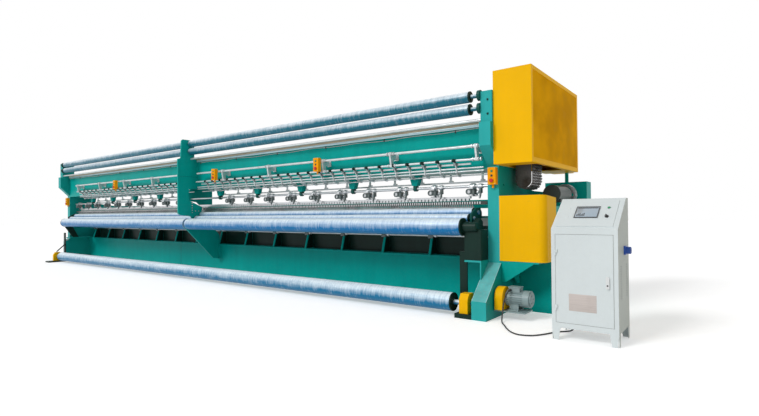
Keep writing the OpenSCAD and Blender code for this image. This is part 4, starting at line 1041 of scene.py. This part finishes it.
def frame_bolts():
    """Bright faces of the bolts in the bearing plate of the middle frame."""
    faces = bmesh.new()
    for y, z in ([(-0.990, 1.100 + 0.040 * k) for k in range(5)]
                 + [(-0.930 + 0.060 * k, 1.128) for k in range(3)]):
        add_rod(faces, (0.0258, y, z), (0.0274, y, z), 0.0088, 6)
    new_piece("frame_bolts", faces, STATIC, BRIGHT)


# ---------------------------------------------------------------- stop stations

STATION_FRONTS = (-0.929, -1.070, -1.070, -1.070, -0.929)   # Y of each box's front
STATION_BASES = (1.345, 1.612, 1.612, 1.596, 1.318)         # Z of each box's underside
BUTTON_RADIUS = 0.0097


def button_rings():
    """Raised rings round the buttons and cover screws on the stop stations."""
    rings, screws = bmesh.new(), bmesh.new()
    for k, front, base in zip(STATIONS, STATION_FRONTS, STATION_BASES):
        for kind in ("stop", "jog", "run"):
            low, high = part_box(f"{kind}_button_{k}")
            x, z = (low.x + high.x) / 2, (low.z + high.z) / 2
            for v in add_ring(rings, (0, 0), 0.0, 0.0016, BUTTON_RADIUS, BUTTON_RADIUS + 0.003, 28):
                v.co = Vector((x + v.co.x, front - v.co.z, z + v.co.y))
        # the buttons of a station stand over each other, so x is the middle of its cover
        for dx in (-0.037, 0.037):
            for dz in (0.008, 0.170):
                add_rod(screws, (x + dx, front + 0.001, base + dz),
                        (x + dx, front - 0.0015, base + dz), 0.003, 12)
    new_piece("button_rings", rings, STATIC, BLACK)
    new_piece("box_screws", screws, STATIC, BRIGHT)


for build in (head_bolts, flange_bolts, roller_caps, lift_shaft, desk_fittings, door_fittings,
              cabinet_seams, rail_collars, finger_clamps, hanger_details, hanger_bodies,
              trick_teeth, foot_faces, rib_shade_plates, casting_joint, frame_bolts, top_strip,
              beam_edge, frame_joint, beam_wire, button_rings):
    build()

# ---------------------------------------------------------------- studio

FLOOR_REACH = 60
FLOOR_GLOW = 0.38           # what the camera and the metal see of the floor beyond its light
WORLD_LIGHT = 0.46

# name, strength, width of the disc in degrees, colour and direction of each lamp
LAMPS = (("key", 1.55, 18, (1, 1, 1), (0.30, 0.80, -0.62)),
         ("fill", 0.22, 40, (1, 0.96, 0.88), (-0.85, 0.35, -0.35)))


def lay_floor():
    """Pale floor that keeps the shadow and fades into a white surround."""
    shape = bmesh.new()
    bmesh.ops.create_grid(shape, x_segments=1, y_segments=1, size=FLOOR_REACH)
    bmesh.ops.translate(shape, vec=(0, 0, -0.001), verts=shape.verts)
    mesh = bpy.data.meshes.new("floor")
    shape.to_mesh(mesh)
    shape.free()
    pale = bpy.data.materials.new("pale_floor")
    pale.use_nodes = True
    tree = pale.node_tree
    principled = tree.nodes["Principled BSDF"]
    grain = noise(tree, stretched(tree, 1, 1, 1), 5.0)
    shade = ranged(tree, grain, 0.3, 0.7, 0.84, 0.88)
    tree.links.new(node(tree, "CombineColor", [(0, shade), (1, shade), (2, shade)]).outputs[0],
                   principled.inputs["Base Color"])
    principled.inputs["Roughness"].default_value = 0.9
    principled.inputs["Emission Color"].default_value = (1, 1, 1, 1)
    path = node(tree, "LightPath")
    seen = math_node(tree, "MAXIMUM", path.outputs["Is Camera Ray"], path.outputs["Is Glossy Ray"])
    tree.links.new(math_node(tree, "MULTIPLY", seen, FLOOR_GLOW),
                   principled.inputs["Emission Strength"])
    mesh.materials.append(pale)
    floor = bpy.data.objects.new("floor", mesh)
    bpy.context.scene.collection.objects.link(floor)


def light_studio():
    """White surround for the camera, dimmer as a light, with two soft lamps."""
    world = bpy.data.worlds.new("studio")
    bpy.context.scene.world = world
    world.use_nodes = True
    tree = world.node_tree
    background = tree.nodes["Background"]
    background.inputs["Color"].default_value = (1, 1, 1, 1)
    path = node(tree, "LightPath")
    seen = math_node(tree, "MAXIMUM", path.outputs["Is Camera Ray"],
                     math_node(tree, "MAXIMUM", path.outputs["Is Glossy Ray"],
                               path.outputs["Is Transmission Ray"]))
    tree.links.new(ranged(tree, seen, 0.0, 1.0, WORLD_LIGHT, 1.0), background.inputs["Strength"])
    for name, strength, spread, tint, towards in LAMPS:
        lamp = bpy.data.lights.new(name, "SUN")
        lamp.energy = strength
        lamp.color = tint
        lamp.angle = math.radians(spread)
        holder = bpy.data.objects.new(name, lamp)
        holder.rotation_euler = Vector(towards).to_track_quat("-Z", "Y").to_euler()
        bpy.context.scene.collection.objects.link(holder)


lay_floor()
light_studio()
bpy.context.scene.view_settings.view_transform = "Standard"
